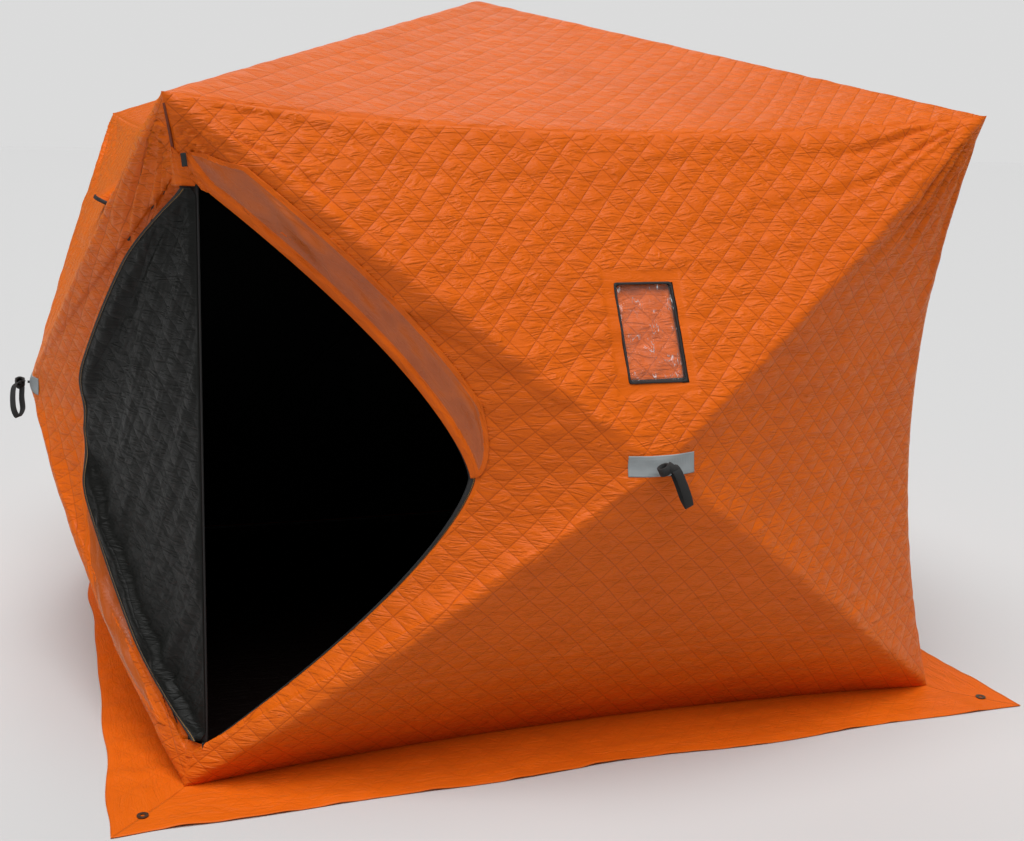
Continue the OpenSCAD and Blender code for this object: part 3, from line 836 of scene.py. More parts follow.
def wall_cloth(k, door):
    """The outer cloth of one wall, in front-wall place: the rays' surface, its ridges relaxed, its
    edges rounded, then puffs and creases along its normals."""
    g, c, tr = sizes("hut_shell"), sizes("hut_cloth"), sizes("hut_trim")
    points, at = wall_grid(g.wall_cells, door, 0.0, 0.0)
    points = relaxed(points, 5)
    sideways = np.where(at["level"], np.sign(at["u"]), 0)
    at_door = (sideways < 0) & door & (np.abs(at["t"] - 0.47) < 0.42)
    down = np.where(at["level"], 0, -1.0)
    push = np.stack([-sideways, np.ones_like(sideways), down], axis=-1) / math.sqrt(2)
    ends = np.where(at["level"], 1 - np.abs(at["ev"]), 1 - np.abs(at["eu"])) * 8
    under = (~at["level"]) & (at["v"] < 0)
    points += push * (edge_cut(at["border"], ends) * ~at_door * ~under)[..., None]
    uv = cloth_uv(points, 10 + k)
    hem = 0.018 * at_door
    rows = smooth((at["border"] - 0.003 - hem) / 0.005)
    rows *= smooth((np.hypot(points[..., 0], points[..., 2] - g.hub_z) - 0.02) / 0.03)
    if k < 3:
        gap = np.maximum(np.abs(points[..., 0] - tr.window_x) - tr.window_w / 2,
                         np.abs(points[..., 2] - tr.window_z - tr.window_h / 2) - tr.window_h / 2)
        rows *= smooth((gap - 0.028) / 0.008)
    mask = rows * (0.35 + 0.65 * smooth((at["ridge"] - 0.006) / 0.03)) * smooth(at["border"] / 0.03)
    seam = np.exp(-((points[..., 2] - c.seam_z) / 0.005) ** 2)
    below = smooth((points[..., 2] - c.seam_z) / 0.02) * 0.6 + 0.4
    height = c.puff * puffs(uv[..., 0], uv[..., 1], c.pitch) * mask * below
    height -= 0.002 * seam * smooth(at["border"] / 0.02)
    creases = waves(uv[..., 0], uv[..., 1], 40 + k, (0.05, 0.16), 0.35)
    gather = np.exp(-(at["border"] / 0.09) ** 2) * at_door
    creases += 1.2 * gather * waves(uv[..., 0], uv[..., 1], 60 + k, (0.022, 0.034), 0.15, 10)
    height += 0.5 * c.crease * creases * smooth(at["border"] / 0.05)
    for side in (-1, 1):
        corner = corner_edge(side, np.array(1.0))
        height += corner_folds(points - corner, at["border"], at["ridge"], 110 + 2 * k + side)
    points += normals(points) * height[..., None]
    return points, uv, rows * (1 - 0.8 * seam)


def corner_folds(away, border, ridge, seed):
    """Tension folds that fan out from a top corner: waves of the direction from the corner, swelling
    and fading with the distance from it."""
    c = sizes("hut_cloth")
    run = np.linalg.norm(away, axis=-1)
    turn = np.arctan2(away[..., 2], np.abs(away[..., 0]) + 1e-6)
    fan = waves(run * 0, turn + 0.04 * np.sin(run * 9 + seed), seed, (0.07, 0.2), 0.0, 12)
    swell = smooth(run / 0.14) * np.exp(-((run / 0.5) ** 2))
    return 2.8 * c.crease * fan * swell * smooth(border / 0.03) * (0.4 + 0.6 * smooth(ridge / 0.04))


def wall_piece(k):
    """Builds a wall's outer cloth and its lining, turned to its side of the hut."""
    g = sizes("hut_shell")
    door = k in (0, 3)
    name = WALLS[k]
    points, uv, mask = wall_cloth(k, door)
    n = g.wall_cells + 1
    faces = grid_faces(n, n, flip=k == 3)
    middle = points.reshape(-1, 3)[faces].mean(axis=1)
    if k < 3:
        faces = faces[~in_window(middle, 0.0045)]
    place = turned(mirrored(points) if k == 3 else points, k)
    if k == 3:
        uv = uv * np.array([-1, 1])
    outer = make_piece(name + "_wall", place, faces, uv, {"quilt": mask}, material_for("quilted_orange"))
    sides = {0: ["door_side", "far_side"], 1: ["front_side", "back_side"], 2: ["right_side", "left_side"],
             3: ["far_side", "door_side"]}[k]
    nodes = [name + "_wall_" + part for part in ["top", "bottom"] + sides]
    cloth(outer, "shell", nodes, (2.45, 1.95))
    inner, at = wall_grid(g.lining_cells, door, g.lining_depth, g.lining_depth)
    inner = relaxed(inner, 1)
    if door:
        d = sizes("hut_door")
        meet = wall_grid(g.lining_cells, door, g.lining_depth, 0.001)[0]
        t = at["t"]
        beside = smooth((t - corner_t(d.foot_z)) / 0.02) * smooth((corner_t(d.top_z) - t) / 0.02)
        share = beside * (at["level"] & (at["u"] < 0)) * smooth((at["s"] - 0.955) / 0.045)
        inner += (meet - inner) * share[..., None]
    inner_uv = cloth_uv(inner, 20 + k)
    faces = grid_faces(g.lining_cells + 1, g.lining_cells + 1, flip=k != 3)
    if k < 3:
        faces = faces[~in_window(inner.reshape(-1, 3)[faces].mean(axis=1), 0.004)]
    place = turned(mirrored(inner) if k == 3 else inner, k)
    lining = make_piece(name + "_lining", place, faces, inner_uv, {"quilt": np.ones_like(at["s"])},
                        material_for("lining"))
    cloth(lining, "shell", [], (2.45, 1.95))


def quarters(u, v, eu, ev):
    """For each side of a square grid: its number, how far along the side each ray ends, and which
    points belong to it."""
    level = np.abs(u) > np.abs(v)
    shares = [(1 + eu) / 2, (1 + ev) / 2, (1 - eu) / 2, (1 - ev) / 2]
    picks = [~level & (v <= 0), level & (u > 0), ~level & (v > 0), level & (u <= 0)]
    return [(k, shares[k], picks[k][..., None]) for k in range(4)]


def roof_grid(cells, d):
    """Straight rays from the peak to the four eaves."""
    g = sizes("hut_shell")
    u, v, s, eu, ev = square(cells)
    edge = np.zeros(u.shape + (3,))
    push = np.zeros(u.shape + (3,))
    for k, share, pick in quarters(u, v, eu, ev):
        edge += turned(eave_edge(share, d), k) * pick
        push += turned(np.array([[[0, 1.0, -1.0]]]) / math.sqrt(2), k) * pick
    peak = np.array([0, 0, g.peak_z - d])
    points = peak + s[..., None] * (edge - peak)
    ends = np.minimum(np.abs(eu), np.abs(ev))
    border = (1 - s) * np.linalg.norm(edge - peak, axis=-1)
    return points, push, s, ends, border


def roof_piece():
    """Builds the roof's outer cloth and its lining."""
    g, c = sizes("hut_shell"), sizes("hut_cloth")
    points, push, s, ends, border = roof_grid(g.roof_cells, 0.0)
    points = relaxed(points, 5)
    points += push * edge_cut(border, (1 - ends) * 8)[..., None]
    a, b = points[..., 0] * 1.04, points[..., 1] * 1.04
    uv = np.stack([a + drift(a, b, 31), b + drift(b, a, 32)], axis=-1)
    rows = smooth((border - 0.003) / 0.005) * smooth((s - 0.01) / 0.02)
    mask = rows * (0.35 + 0.65 * smooth(((1 - ends) * s * 0.8 - 0.006) / 0.03)) * smooth(border / 0.03)
    seam = np.exp(-((1 - s - c.roof_seam) / 0.004) ** 2)
    height = c.puff * 0.8 * puffs(uv[..., 0], uv[..., 1], c.pitch) * mask - 0.001 * seam
    creases = waves(a, b, 33, (0.05, 0.16), 0.35)
    points += normals(points) * (height + 0.35 * c.crease * creases * smooth(border / 0.05))[..., None]
    n = g.roof_cells + 1
    outer = make_piece("roof", points, grid_faces(n, n), uv, {"quilt": rows * (1 - 0.6 * seam)},
                       material_for("quilted_orange"))
    cloth(outer, "shell", ["roof_" + name for name in WALLS], (2.4, 2.4))
    inner = relaxed(roof_grid(g.lining_cells, g.lining_depth)[0], 1)
    lining = make_piece("roof_lining", inner, grid_faces(g.lining_cells + 1, g.lining_cells + 1, flip=True),
                        inner[..., :2].copy(), {"quilt": np.ones(inner.shape[:2])}, material_for("lining"))
    cloth(lining, "shell", [], (2.4, 2.4))


# ---- skirt, and the dark floor sheet that stands in for shade ----

def skirt_piece(k):
    """Straight rows between the wall's bottom edge and the skirt's outer edge, with low ripples."""
    rows, cols = 31, 241
    t, w = np.meshgrid(np.linspace(0, 1, cols), np.linspace(0, 1, rows))
    inner = base_edge(t, 0.010)
    tip = SKIRT_TIP - 0.002
    outer = np.stack([(2 * t - 1) * tip, np.full_like(t, -tip), np.zeros_like(t)], axis=-1)
    ends = smooth(np.minimum(t, 1 - t) * 2.2 / 0.12)
    outer[..., 1] += 0.006 * (1 + waves(t * 2.4, t * 0, 70 + k, (0.3, 0.9), 1.57, 6)) * ends
    points = inner + (outer - inner) * w[..., None]
    a, b = points[..., 0], -points[..., 1]
    ripple = waves(b, a, 74 + k, (0.07, 0.25), 0.5) * 0.5 + 0.35 * waves(a, b, 78 + k, (0.05, 0.12), 0.4)
    lift = 0.0022 + 0.0035 * np.clip(ripple + 0.4, 0, 3) * smooth(w / 0.2) * (0.25 + 0.75 * ends)
    points[..., 2] = np.maximum(lift, 0.0015) + 0.006 * np.exp(-(w / 0.10) ** 2)
    uv = np.stack([a + 0.002 * waves(b, a, 82 + k, (0.2, 0.6), 1.5, 6), b], axis=-1)
    mask = smooth((1 - w) * 0.2 / 0.02 - 0.4) * smooth(w * 0.2 / 0.02 - 0.4) * ends * 0.35
    piece = make_piece("skirt_cloth_" + WALLS[k], turned(points, k), grid_faces(rows, cols, flip=True), uv,
                       {"quilt": mask}, material_for("quilted_orange"))
    solidify(piece, 0.0012)
    cloth(piece, "shell", ["skirt_" + WALLS[k]], (2.6, 0.32))


def shade_floor_piece():
    """A square grid stretched to the walls' bottom edges, with low creases, dark as painted shade on the
    ground inside the hut.
    """
    cells = 90
    u, v, s, eu, ev = square(cells)
    edge = np.zeros(u.shape + (3,))
    for k, share, pick in quarters(u, v, eu, ev):
        edge += turned(base_edge(share, 0.016), k) * pick
    points = edge * s[..., None]
    a, b = points[..., 0], points[..., 1]
    crease = np.abs(waves(a, b, 90, (0.2, 0.6), 1.5, 16))
    points[..., 2] = 0.0006 + 0.0022 * np.clip(crease, 0, 1.6) * smooth((1 - s) * 12)
    # Painted shade: this dark sheet stands for the shade on the ground inside the hut.
    piece = make_piece("floor_cloth", points, grid_faces(cells + 1, cells + 1), points[..., :2].copy(), None,
                       material_for("floor_cloth"))
    cloth(piece, "shell", ["floor_sheet"], (2.2, 2.2))


# ---- the door ----

def flap_reach(u):
    """The door's curve, fuller on both sides of its tip, where the soft edge bellies out."""
    end = np.abs(2 * u - 1)
    fullness = smooth((end - 0.08) / 0.2) * smooth((1 - end) / 0.3)
    return door_r(u) - 0.007 * smooth((1 - end) / 0.05) + 0.046 * fullness


def flap_curl(u, dist):
    """How far the flap's rim curls towards its black side, so that it closes inside the wall."""
    end = np.abs(2 * u - 1)
    return 0.024 * smooth((dist - door_r(u) + 0.045) / 0.04) * smooth((end - 0.02) / 0.2)


def flap_turn(u):
    """Heading of the folded flap, in degrees, and the level direction square to it."""
    g = sizes("hut_door")
    turn = g.folded_dir + g.twist * np.abs(2 * u - 1) ** 3
    a = np.radians(turn)
    return turn, np.stack([-np.sin(a), np.cos(a), np.zeros_like(a)], axis=-1)


def flap_surface(u, r, side):
    """The folded flap: from the fold line outward along its own direction, with puffs on the black
    side and upright creases that hang from its top."""
    g, c = sizes("hut_door"), sizes("hut_cloth")
    turn, out = flap_turn(u)
    reach = flap_reach(u)
    dist = r * reach
    points = fold_line(u) + dist[..., None] * heading(turn)
    z = points[..., 2]
    mask = smooth((np.minimum(dist + 0.012, reach - dist) - 0.012) / 0.02)
    puff = c.puff * 0.7 * puffs(dist, z, c.pitch) * mask
    slant = dist + 0.55 * z
    hang = (0.003 * waves(z, slant, 95, (0.06, 0.2), 0.2) + 0.004 * waves(z, slant, 96, (0.2, 0.45), 0.2) +
            0.0009 * waves(z, slant, 97, (0.016, 0.034), 0.15)) * mask
    below = g.top_z - z
    crease = np.exp(-((dist - 0.88 * below) / 0.014) ** 2)
    hang += 0.007 * crease * smooth(below / 0.06) * smooth((0.62 - below) / 0.4) * mask
    thick = 0.0024 * smooth(dist / 0.02) + 0.0014
    lift = thick * side + hang + flap_curl(u, dist) + (puff if side > 0 else -puff * 0.6)
    points += out * lift[..., None]
    return points, np.stack([dist, z], axis=-1), mask


def door_flap_piece():
    """Builds the folded flap as a closed sheet: lining outward, orange cloth towards the wall."""
    rows, cols = 190, 84
    u, r = np.meshgrid(np.linspace(*FLAP_ENDS, rows), np.linspace(0, 1, cols), indexing="ij")
    front, uv, mask = flap_surface(u, r, 1)
    back, _, _ = flap_surface(u, r, -1)
    points, faces = two_sided(front, back)
    piece = make_piece("door_flap_cloth", points, faces[:, ::-1], np.concatenate([uv.reshape(-1, 2)] * 2),
                       {"quilt": np.concatenate([mask.ravel()] * 2)}, material_for("quilted_black"))
    piece.data.materials.append(material_for("quilted_orange"))
    behind = np.zeros(len(faces), dtype=np.int32)
    cells = (rows - 1) * (cols - 1)
    behind[cells:2 * cells] = 1
    piece.data.polygons.foreach_set("material_index", behind)
    cloth(piece, "door", ["door_flap"], (0.66, 1.42), closed=True)
    tape_strip("flap_tape", np.linspace(*FLAP_ENDS, TAPE_ROWS), flap_tape_point, "door", [])


def flap_tape_point(u, w, lift):
    """A point on the flap's black side, w in from its free edge and raised by lift."""
    turn, out = flap_turn(u)
    reach = flap_reach(u)
    dist = reach * np.clip(1 - w / np.maximum(reach, 1e-4), 0, 1)
    points = fold_line(u) + dist[..., None] * heading(turn)
    return points + out * (0.0038 + flap_curl(u, dist) + lift)[..., None]


def door_gore_point(u, w, lift):
    """A point on the front wall's door-side panel, w in from the door's edge and raised by lift."""
    g = sizes("hut_shell")
    hub = np.array([0, -g.hub_out, g.hub_z])
    edge = door_edge(u)
    s = 1 - w / np.linalg.norm(edge - hub, axis=-1)
    points = hub + s[..., None] * (edge - hub)
    points[..., 1] -= belly(s) * door_bow(u) + lift
    return points


def tape_strip(name, run, place, body, nodes):
    """A closed strip of zip tape: its section runs over the top, round the free edge and back."""
    w = np.array([-0.004, 0.0, 0.004, 0.008, 0.012, 0.012, 0.008, 0.004, 0.0, -0.004])
    lift = np.array([0.001, 0.0028, 0.0020, 0.0016, 0.0012, 0.0004, 0.0004, 0.0004, 0.0004, 0.0002])
    u, ww = np.meshgrid(run, w, indexing="ij")
    points = place(u, ww, np.broadcast_to(lift, ww.shape))
    steps = np.linalg.norm(np.diff(points[:, 0], axis=0), axis=1)
    along = np.concatenate([[0], np.cumsum(steps)])
    uv = np.stack(np.broadcast_arrays(along[:, None], np.abs(w)[None, :]), axis=-1)
    faces = grid_faces(len(run), len(w), across=True)
    piece = make_piece(name, points, faces, uv, None, material_for("zip_tape"))
    trim(piece, nodes, body)
    return piece


def left_half_piece():
    """Builds the door's left half: from the left wall's door edge to behind the fold line, then to
    the bead, sagging between."""
    g, c = sizes("hut_door"), sizes("hut_cloth")
    rows, cols = 170, 60
    u, w = np.meshgrid(np.linspace(0, 1, rows), np.linspace(0, 1, cols), indexing="ij")
    shape = []
    for d in (0.0, 0.005):
        edge = door_edge(u, d)[..., [1, 0, 2]]
        back = fold_line(u, d) + g.half_sag * INTO_HUT
        points = back + (edge - back) * w[..., None]
        size = np.linalg.norm(edge - back, axis=-1)
        points -= ((1 - smooth(w * size / 0.11)) * (g.half_sag - 0.003))[..., None] * INTO_HUT
        uv = np.stack([w * size, points[..., 2]], axis=-1)
        mask = smooth((1 - w) * size / 0.03) * smooth(w * size / 0.03)
        sag = 0.010 * belly(w) * smooth(size / 0.3) * smooth(w * size / 0.2)
        points += sag[..., None] * INTO_HUT
        puff = c.puff * 0.6 * puffs(uv[..., 0], uv[..., 1], c.pitch) * mask * (d == 0)
        points -= puff[..., None] * INTO_HUT
        shape.append(points)
    points, faces = two_sided(shape[0], shape[1])
    piece = make_piece("door_left_cloth", points, faces, np.concatenate([uv.reshape(-1, 2)] * 2),
                       {"quilt": np.concatenate([mask.ravel()] * 2)}, material_for("quilted_orange"))
    piece.data.materials.append(material_for("lining"))
    behind = np.ones(len(faces), dtype=np.int32)
    behind[:(rows - 1) * (cols - 1)] = (uv[:-1, 1:, 0] < 0.06).ravel()
    piece.data.polygons.foreach_set("material_index", behind)
    cloth(piece, "shell", ["door_left_half"], (0.68, 1.42),
          closed=True)


def cover_strip(name, left):
    """A band beside a door edge, square to it. Across it: a rolled free edge that stands off, a loose
    middle with long slanting folds, and a flat sewn margin with piping. Its ends narrow to points."""
    g = sizes("hut_door")
    rows, cols = 280, 40
    line = door_edge(np.linspace(0.5, 0.02 if left else 0.985, 200))[:, [0, 2]]
    if not left:
        tops = [fold_line(1.0) + [0.004, 0, 0.004],
                corner_edge(-1, corner_t(g.top_z + g.peak)) + [0.016, 0, 0]]
        line = np.concatenate([line, np.array(tops)[:, [0, 2]]])
    size = np.concatenate([[0], np.cumsum(np.linalg.norm(np.diff(line, axis=0), axis=1))])
    run = np.linspace(0, size[-1], rows)
    line = np.stack([np.interp(run, size, line[:, 0]), np.interp(run, size, line[:, 1])], axis=-1)
    line[1:-1] = relaxed_line(line, 6)[1:-1]
    ahead = relaxed_line(unit(np.gradient(line, axis=0)), 24)
    out = unit(np.stack([np.abs(ahead[:, 1]), np.sign(0.5 - left) * -ahead[:, 0]], axis=-1))
    ends = np.sqrt(np.clip(run / 0.15, 0, 1)) * np.sqrt(np.clip((size[-1] - run) / (0.12 + 0.2 * left), 0, 1))
    width = (g.cover_left if left else g.cover) * (0.05 + 0.95 * ends)
    w = np.linspace(0, 1, cols)[None, :]
    across = w * width[:, None]
    along = np.broadcast_to(run[:, None], across.shape)
    inward = (0.004 * ends)[:, None] * (1 - w) ** 8
    place = line[:, None] + (across - inward)[..., None] * out[:, None]
    x, z = place[..., 0], place[..., 1]
    roll = 0.010 * np.exp(-((across - 0.009) / 0.008) ** 2) * (0.8 + 0.2 * np.sin(along * 23.0))
    middle = belly(np.clip((across - 0.018) / np.maximum(width[:, None] - 0.032, 0.01), 0, 1))
    slant = waves(along, across - along * 0.16, 121 + left, (0.035, 0.09), 0.08, 10)
    folds = (0.006 + 0.005 * slant) * middle
    piping = 0.0016 * np.exp(-((width[:, None] - 0.013 - across) / 0.0018) ** 2)
    lift = 0.0034 + (roll + folds) * ends[:, None] + piping * ends[:, None]
    base = draped_y(x, z, 3 if left else 0, True)
    level = np.stack([base, base, base], axis=-1)
    base = np.minimum(relaxed(level, 12)[..., 0], base + 0.001)
    points = np.stack([x, base - lift, z], axis=-1)
    if left:
        points = turned(mirrored(points), 3)
    uv = np.stack([along, across], axis=-1)
    piece = make_piece(name, points, grid_faces(rows, cols), uv, None, material_for("cover_orange"))
    piece.data.materials.append(material_for("plain_orange"))
    bright = (across < 0.019) | (across > width[:, None] - 0.013)
    piece.data.polygons.foreach_set("material_index", bright[:-1, :-1].astype(np.int32).ravel())
    return piece


def relaxed_line(points, passes):
    """Each inner point moved to the mean of itself and its two neighbours, a few times over."""
    p = points.copy()
    for _ in range(passes):
        p[1:-1] = (2 * p[1:-1] + p[:-2] + p[2:]) / 4
    return p


def gusset(name, z_low, z_high, z_widest):
    """A reinforcing patch over the corner where the door's curves meet: rows across the corner edge,
    from the front wall round to the left wall, that narrow to points above and below."""
    g = sizes("hut_door")
    rows, cols = 30, 31
    v, w = np.meshgrid(np.linspace(0, 1, rows), np.linspace(-1, 1, cols), indexing="ij")
    z = z_low + (z_high - z_low) * v
    knee = (z_widest - z_low) / (z_high - z_low)
    half = (g.fold_shift + 0.008) * np.where(v < knee, 0.75 + 0.25 * v / knee, (1 - v) / (1 - knee)) ** 0.8
    corner = corner_edge(-1, corner_t(z))
    reach = np.abs(w) * half
    front = corner + reach[..., None] * heading(np.array(g.closed_dir))
    side = corner + reach[..., None] * heading(np.array(g.closed_dir))[[1, 0, 2]]
    points = np.where((w > 0)[..., None], front, side)
    out = unit(np.array([-1.0, -1.0, 0.0]))
    points = points + out * 0.0035 - out * 0.004 * np.exp(-(w / 0.14) ** 2)[..., None]
    uv = np.stack([w * half, z], axis=-1)
    piece = make_piece(name, points, grid_faces(rows, cols), uv, None, material_for("plain_orange"))
    cloth(piece, "shell", [], (0.13, area_of(piece) / 0.12))
    solidify(piece, 0.0014)


def door_trim_pieces():
    """Builds the zip tapes of both door edges and the covers over them."""
    g = sizes("hut_door")
    run = np.linspace(0.02, 0.93, TAPE_ROWS)
    tape_strip("door_tape_right", run, door_gore_point, "shell", ["door_zips"])
    left = tape_strip("door_tape_left", run,
                      lambda u, w, lift: turned(mirrored(door_gore_point(u, w, lift)), 3), "shell", [])
    left.data.flip_normals()
    upper = cover_strip("zip_cover_right", left=False)
    lower = cover_strip("zip_cover_left", left=True)
    cloth(upper, "shell", ["door_zip_covers"], (1.05, area_of(upper) * 1.03))
    cloth(lower, "shell", [], (1.0, area_of(lower) * 1.05))
    for strip in (upper, lower):
        solidify(strip, 0.0012)
    gusset("door_gusset_top", g.top_z - 0.012, g.top_z + 0.075, g.top_z + 0.004)
    gusset("door_gusset_foot", g.foot_z - 0.03, g.foot_z + 0.012, g.foot_z - 0.004)


# ---- windows, vent, patches, straps ----

def draped_y(x, z, k, door):
    """Depth of a wall's cloth at x, z: the mean of the nearest wall points, the closest weighing most."""
    points = wall_cloth(k, door)[0].reshape(-1, 3)
    box = ((points[:, 0] > x.min() - 0.05) & (points[:, 0] < x.max() + 0.05) &
           (points[:, 2] > z.min() - 0.05) & (points[:, 2] < z.max() + 0.05))
    near = points[box]
    tree = KDTree(len(near))
    for n, point in enumerate(near):
        tree.insert((point[0], 0.0, point[2]), n)
    tree.balance()
    depth = np.empty(x.size)
    for n, (a, b) in enumerate(zip(x.ravel(), z.ravel())):
        found = tree.find_n((a, 0.0, b), 12)
        weight = np.array([1.0 / (1e-5 + gap ** 2) for _, _, gap in found])
        depth[n] = weight @ near[[index for _, index, _ in found], 1] / weight.sum()
    return depth.reshape(x.shape)


def window_piece(k):
    """Builds one window: wrinkled vinyl, an orange shade behind it and a bound edging."""
    g = sizes("hut_trim")
    centre = g.window_z + g.window_h / 2
    rows, cols = 88, 60
    x, z = np.meshgrid(np.linspace(-1, 1, cols), np.linspace(-1, 1, rows))
    px, pz = g.window_x + x * (g.window_w / 2 + 0.004), centre + z * (g.window_h / 2 + 0.004)
    y = draped_y(px, pz, k, k == 0)
    inside = smooth((1 - np.maximum(np.abs(x), np.abs(z))) / 0.12)
    wrinkle = 0.0016 * waves(px, pz, 100 + k, (0.025, 0.07), 1.5, 14) * inside
    name = WALLS[k]
    pane = np.stack([px, y + 0.002 + wrinkle, pz], axis=-1)
    uv = np.stack([px, pz], axis=-1)
    glass = make_piece("window_" + name, turned(pane, k), grid_faces(rows, cols), uv, None,
                       material_for("clear_vinyl"))
    trim(glass, ["window_panes"] if k == 0 else [])
    soft = 0.0016 * waves(pz, px, 104 + k, (0.03, 0.08), 1.5, 20) * inside
    shade = np.stack([px, y + 0.013 + soft, pz], axis=-1)
    blind = make_piece("window_shade_" + name, turned(shade, k), grid_faces(rows, cols), uv,
                       {"quilt": inside}, material_for("quilted_orange"))
    cloth(blind, "shell", [], (0.21, 0.31))
    binding_strip(k, centre)


def binding_strip(k, centre):
    """Edging round a window: a rounded band carried round a rectangle with small corner arcs."""
    g = sizes("hut_trim")
    half = np.array([g.window_w / 2, g.window_h / 2])
    angle = np.linspace(0, 2 * math.pi, 240, endpoint=False)
    ring = np.stack([np.cos(angle), np.sin(angle)], axis=-1)
    ring = np.sign(ring) * np.abs(ring) ** 0.07
    w = np.linspace(0, 1, 8)[None, :, None]
    flat = ring[:, None] * (half - 0.0005 + w * g.edging)
    x, z = g.window_x + flat[..., 0], centre + flat[..., 1]
    y = draped_y(x, z, k, k == 0)
    rise = 0.0012 + 0.0022 * belly(w[..., 0]) ** 0.5
    top = np.stack([x, y - rise, z], axis=-1)
    under = np.stack([x, y + 0.008, z], axis=-1)
    section = np.concatenate([top, under[:, ::-1]], axis=1)
    across = np.concatenate([w[0, :, 0], w[0, ::-1, 0]])[None] * g.edging
    uv = np.stack(np.broadcast_arrays(angle[:, None] * 0.12, across), axis=-1)
    piece = make_piece("window_edging_" + WALLS[k], turned(section, k),
                       grid_faces(240, 16, flip=True, across=True, along=True), uv, None,
                       material_for("edging"))
    trim(piece, ["window_edging"] if k == 0 else [])


def vent_piece():
    """Builds the vent hood: its lip stands off the wall by a root of a high power across it."""
    g, s = sizes("hut_trim"), sizes("hut_shell")
    low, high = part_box("vent_hood")
    middle = (low[1] + high[1]) / 2
    rows, cols = 24, 80
    x, w = np.meshgrid(np.linspace(-1, 1, cols), np.linspace(0, 1, rows))
    hub = np.array([0, -s.hub_out, s.hub_z])
    run = eave_edge(np.array(0.5)) - hub
    height = 0.79  # share of the way from the hub to the eave
    top = hub + height * run + np.array([0, -belly(height) * s.upper_bow, 0])
    down = -unit(run)
    out = np.cross(down, np.array([1.0, 0, 0]))
    out = out * np.sign(-out[1])
    across = np.sqrt(np.clip(1 - np.abs(x) ** 6, 0, 1))
    stand = 0.004 + g.vent_reach * w * across
    points = (top + np.array([1.0, 0, 0]) * (x * g.vent_w / 2 - middle)[..., None] +
              down * (w * g.vent_drop)[..., None] + out * stand[..., None])
    uv = np.stack([x * g.vent_w / 2, w * g.vent_drop], axis=-1)
    hood = make_piece("vent_hood_cloth", turned(points, 3), grid_faces(rows, cols, flip=True), uv, None,
                      material_for("plain_orange"))
    solidify(hood, 0.0016)
    cloth(hood, "shell", ["vent_hood"], (0.30, 0.10))
    edge = points[-1]
    lip = ribbon(turned(edge, 3), turned(np.broadcast_to(down, edge.shape), 3), 0.012, 0.003, "vent_lip",
                 material_for("edging"))
    trim(lip)


def patch_piece(k):
    """Builds the grey patch over a hub, laid on the wall's cloth."""
    g, s = sizes("hut_trim"), sizes("hut_shell")
    rows, cols = 28, 90
    x, z = np.meshgrid(np.linspace(-0.5, 0.5, cols), np.linspace(-0.5, 0.5, rows))
    px, pz = 0.008 + x * g.patch_w, s.hub_z + z * g.patch_h
    y = draped_y(px, pz, k, k in (0, 3))
    rim = np.minimum((0.5 - np.abs(x)) * g.patch_w, (0.5 - np.abs(z)) * g.patch_h)
    y = y - 0.0012 - 0.0014 * smooth(rim / 0.003) + 0.0007 * np.exp(-((rim - 0.005) / 0.0012) ** 2)
    place = np.stack([px, y, pz], axis=-1)
    piece = make_piece("hub_patch_" + WALLS[k], turned(place, k), grid_faces(rows, cols),
                       np.stack([px, pz], axis=-1), None, material_for("reflective_patch"))
    solidify(piece, 0.0012)
    trim(piece, ["hub_patches"] if k == 0 else [])


def strap_piece(k):
    """Builds a pull strap: a doubled loop of webbing that leaves the knot, bends and hangs."""
    g, s = sizes("hut_trim"), sizes("hut_shell")
    out = s.hub_out + 0.012
    t = np.linspace(0, 1, 90)
    drop = g.strap_tail
    wider = 1.5 if k == 3 else 1.0
    keys = np.array([[0.006, 0.004], [0.022, 0.006], [0.033, -0.006], [0.037, -0.04], [0.035, -drop * 0.8],
                     [0.024, -drop * 1.06], [0.011, -drop * 0.86], [0.012, -0.045], [0.010, -0.012]])
    place = smooth_curve(keys, t) * np.array([wider, 1.0])
    tilt, swing = math.radians(24), math.radians(0 if k < 3 else 48)
    path = np.stack([0.014 + place[:, 0] * math.sin(swing) - math.sin(tilt) * place[:, 1],
                     -out - place[:, 0] * math.cos(swing), s.hub_z + math.cos(tilt) * place[:, 1]], axis=-1)
    wide = np.broadcast_to(np.array([math.cos(tilt) * math.cos(swing), math.sin(swing), math.sin(tilt)]),
                           path.shape)
    loop = ribbon(turned(path, k), turned(wide, k), g.strap_w, 0.0024, "strap_loop", material_for("webbing"))
    wraps = []
    angle = np.linspace(0, 2 * math.pi, 49)[:-1]
    for aside, turn, size, width in ((-0.011, 0.5, 0.0125, 0.021), (0.011, -0.7, 0.0155, 0.019)):
        ring = np.stack([aside + np.cos(angle) * size * math.cos(turn), -out - 0.016 + 0.012 * np.sin(angle),
                         s.hub_z + np.cos(angle) * size * math.sin(turn)], axis=-1)
        side = np.broadcast_to(np.array([-math.sin(turn), 0, math.cos(turn)]), ring.shape)
        wraps.append(ribbon(turned(ring, k), turned(side, k), width, 0.005, "strap_wrap",
                            material_for("webbing"), closed=True))
    piece = joined([loop] + wraps, "pull_strap_" + WALLS[k])
    trim(piece, ["pull_straps"] if k == 0 else [])


def smooth_curve(keys, t):
    """A smooth path through a few points: cubic pieces whose slopes are the mean of their neighbours'."""
    n = len(keys) - 1
    slope = np.gradient(keys, axis=0)
    i = np.minimum((t * n).astype(int), n - 1)
    f = (t * n - i)[:, None]
    a, b, m, q = keys[i], keys[i + 1], slope[i], slope[i + 1]
    return ((2 * f ** 3 - 3 * f ** 2 + 1) * a + (f ** 3 - 2 * f ** 2 + f) * m +
            (3 * f ** 2 - 2 * f ** 3) * b + (f ** 3 - f ** 2) * q)


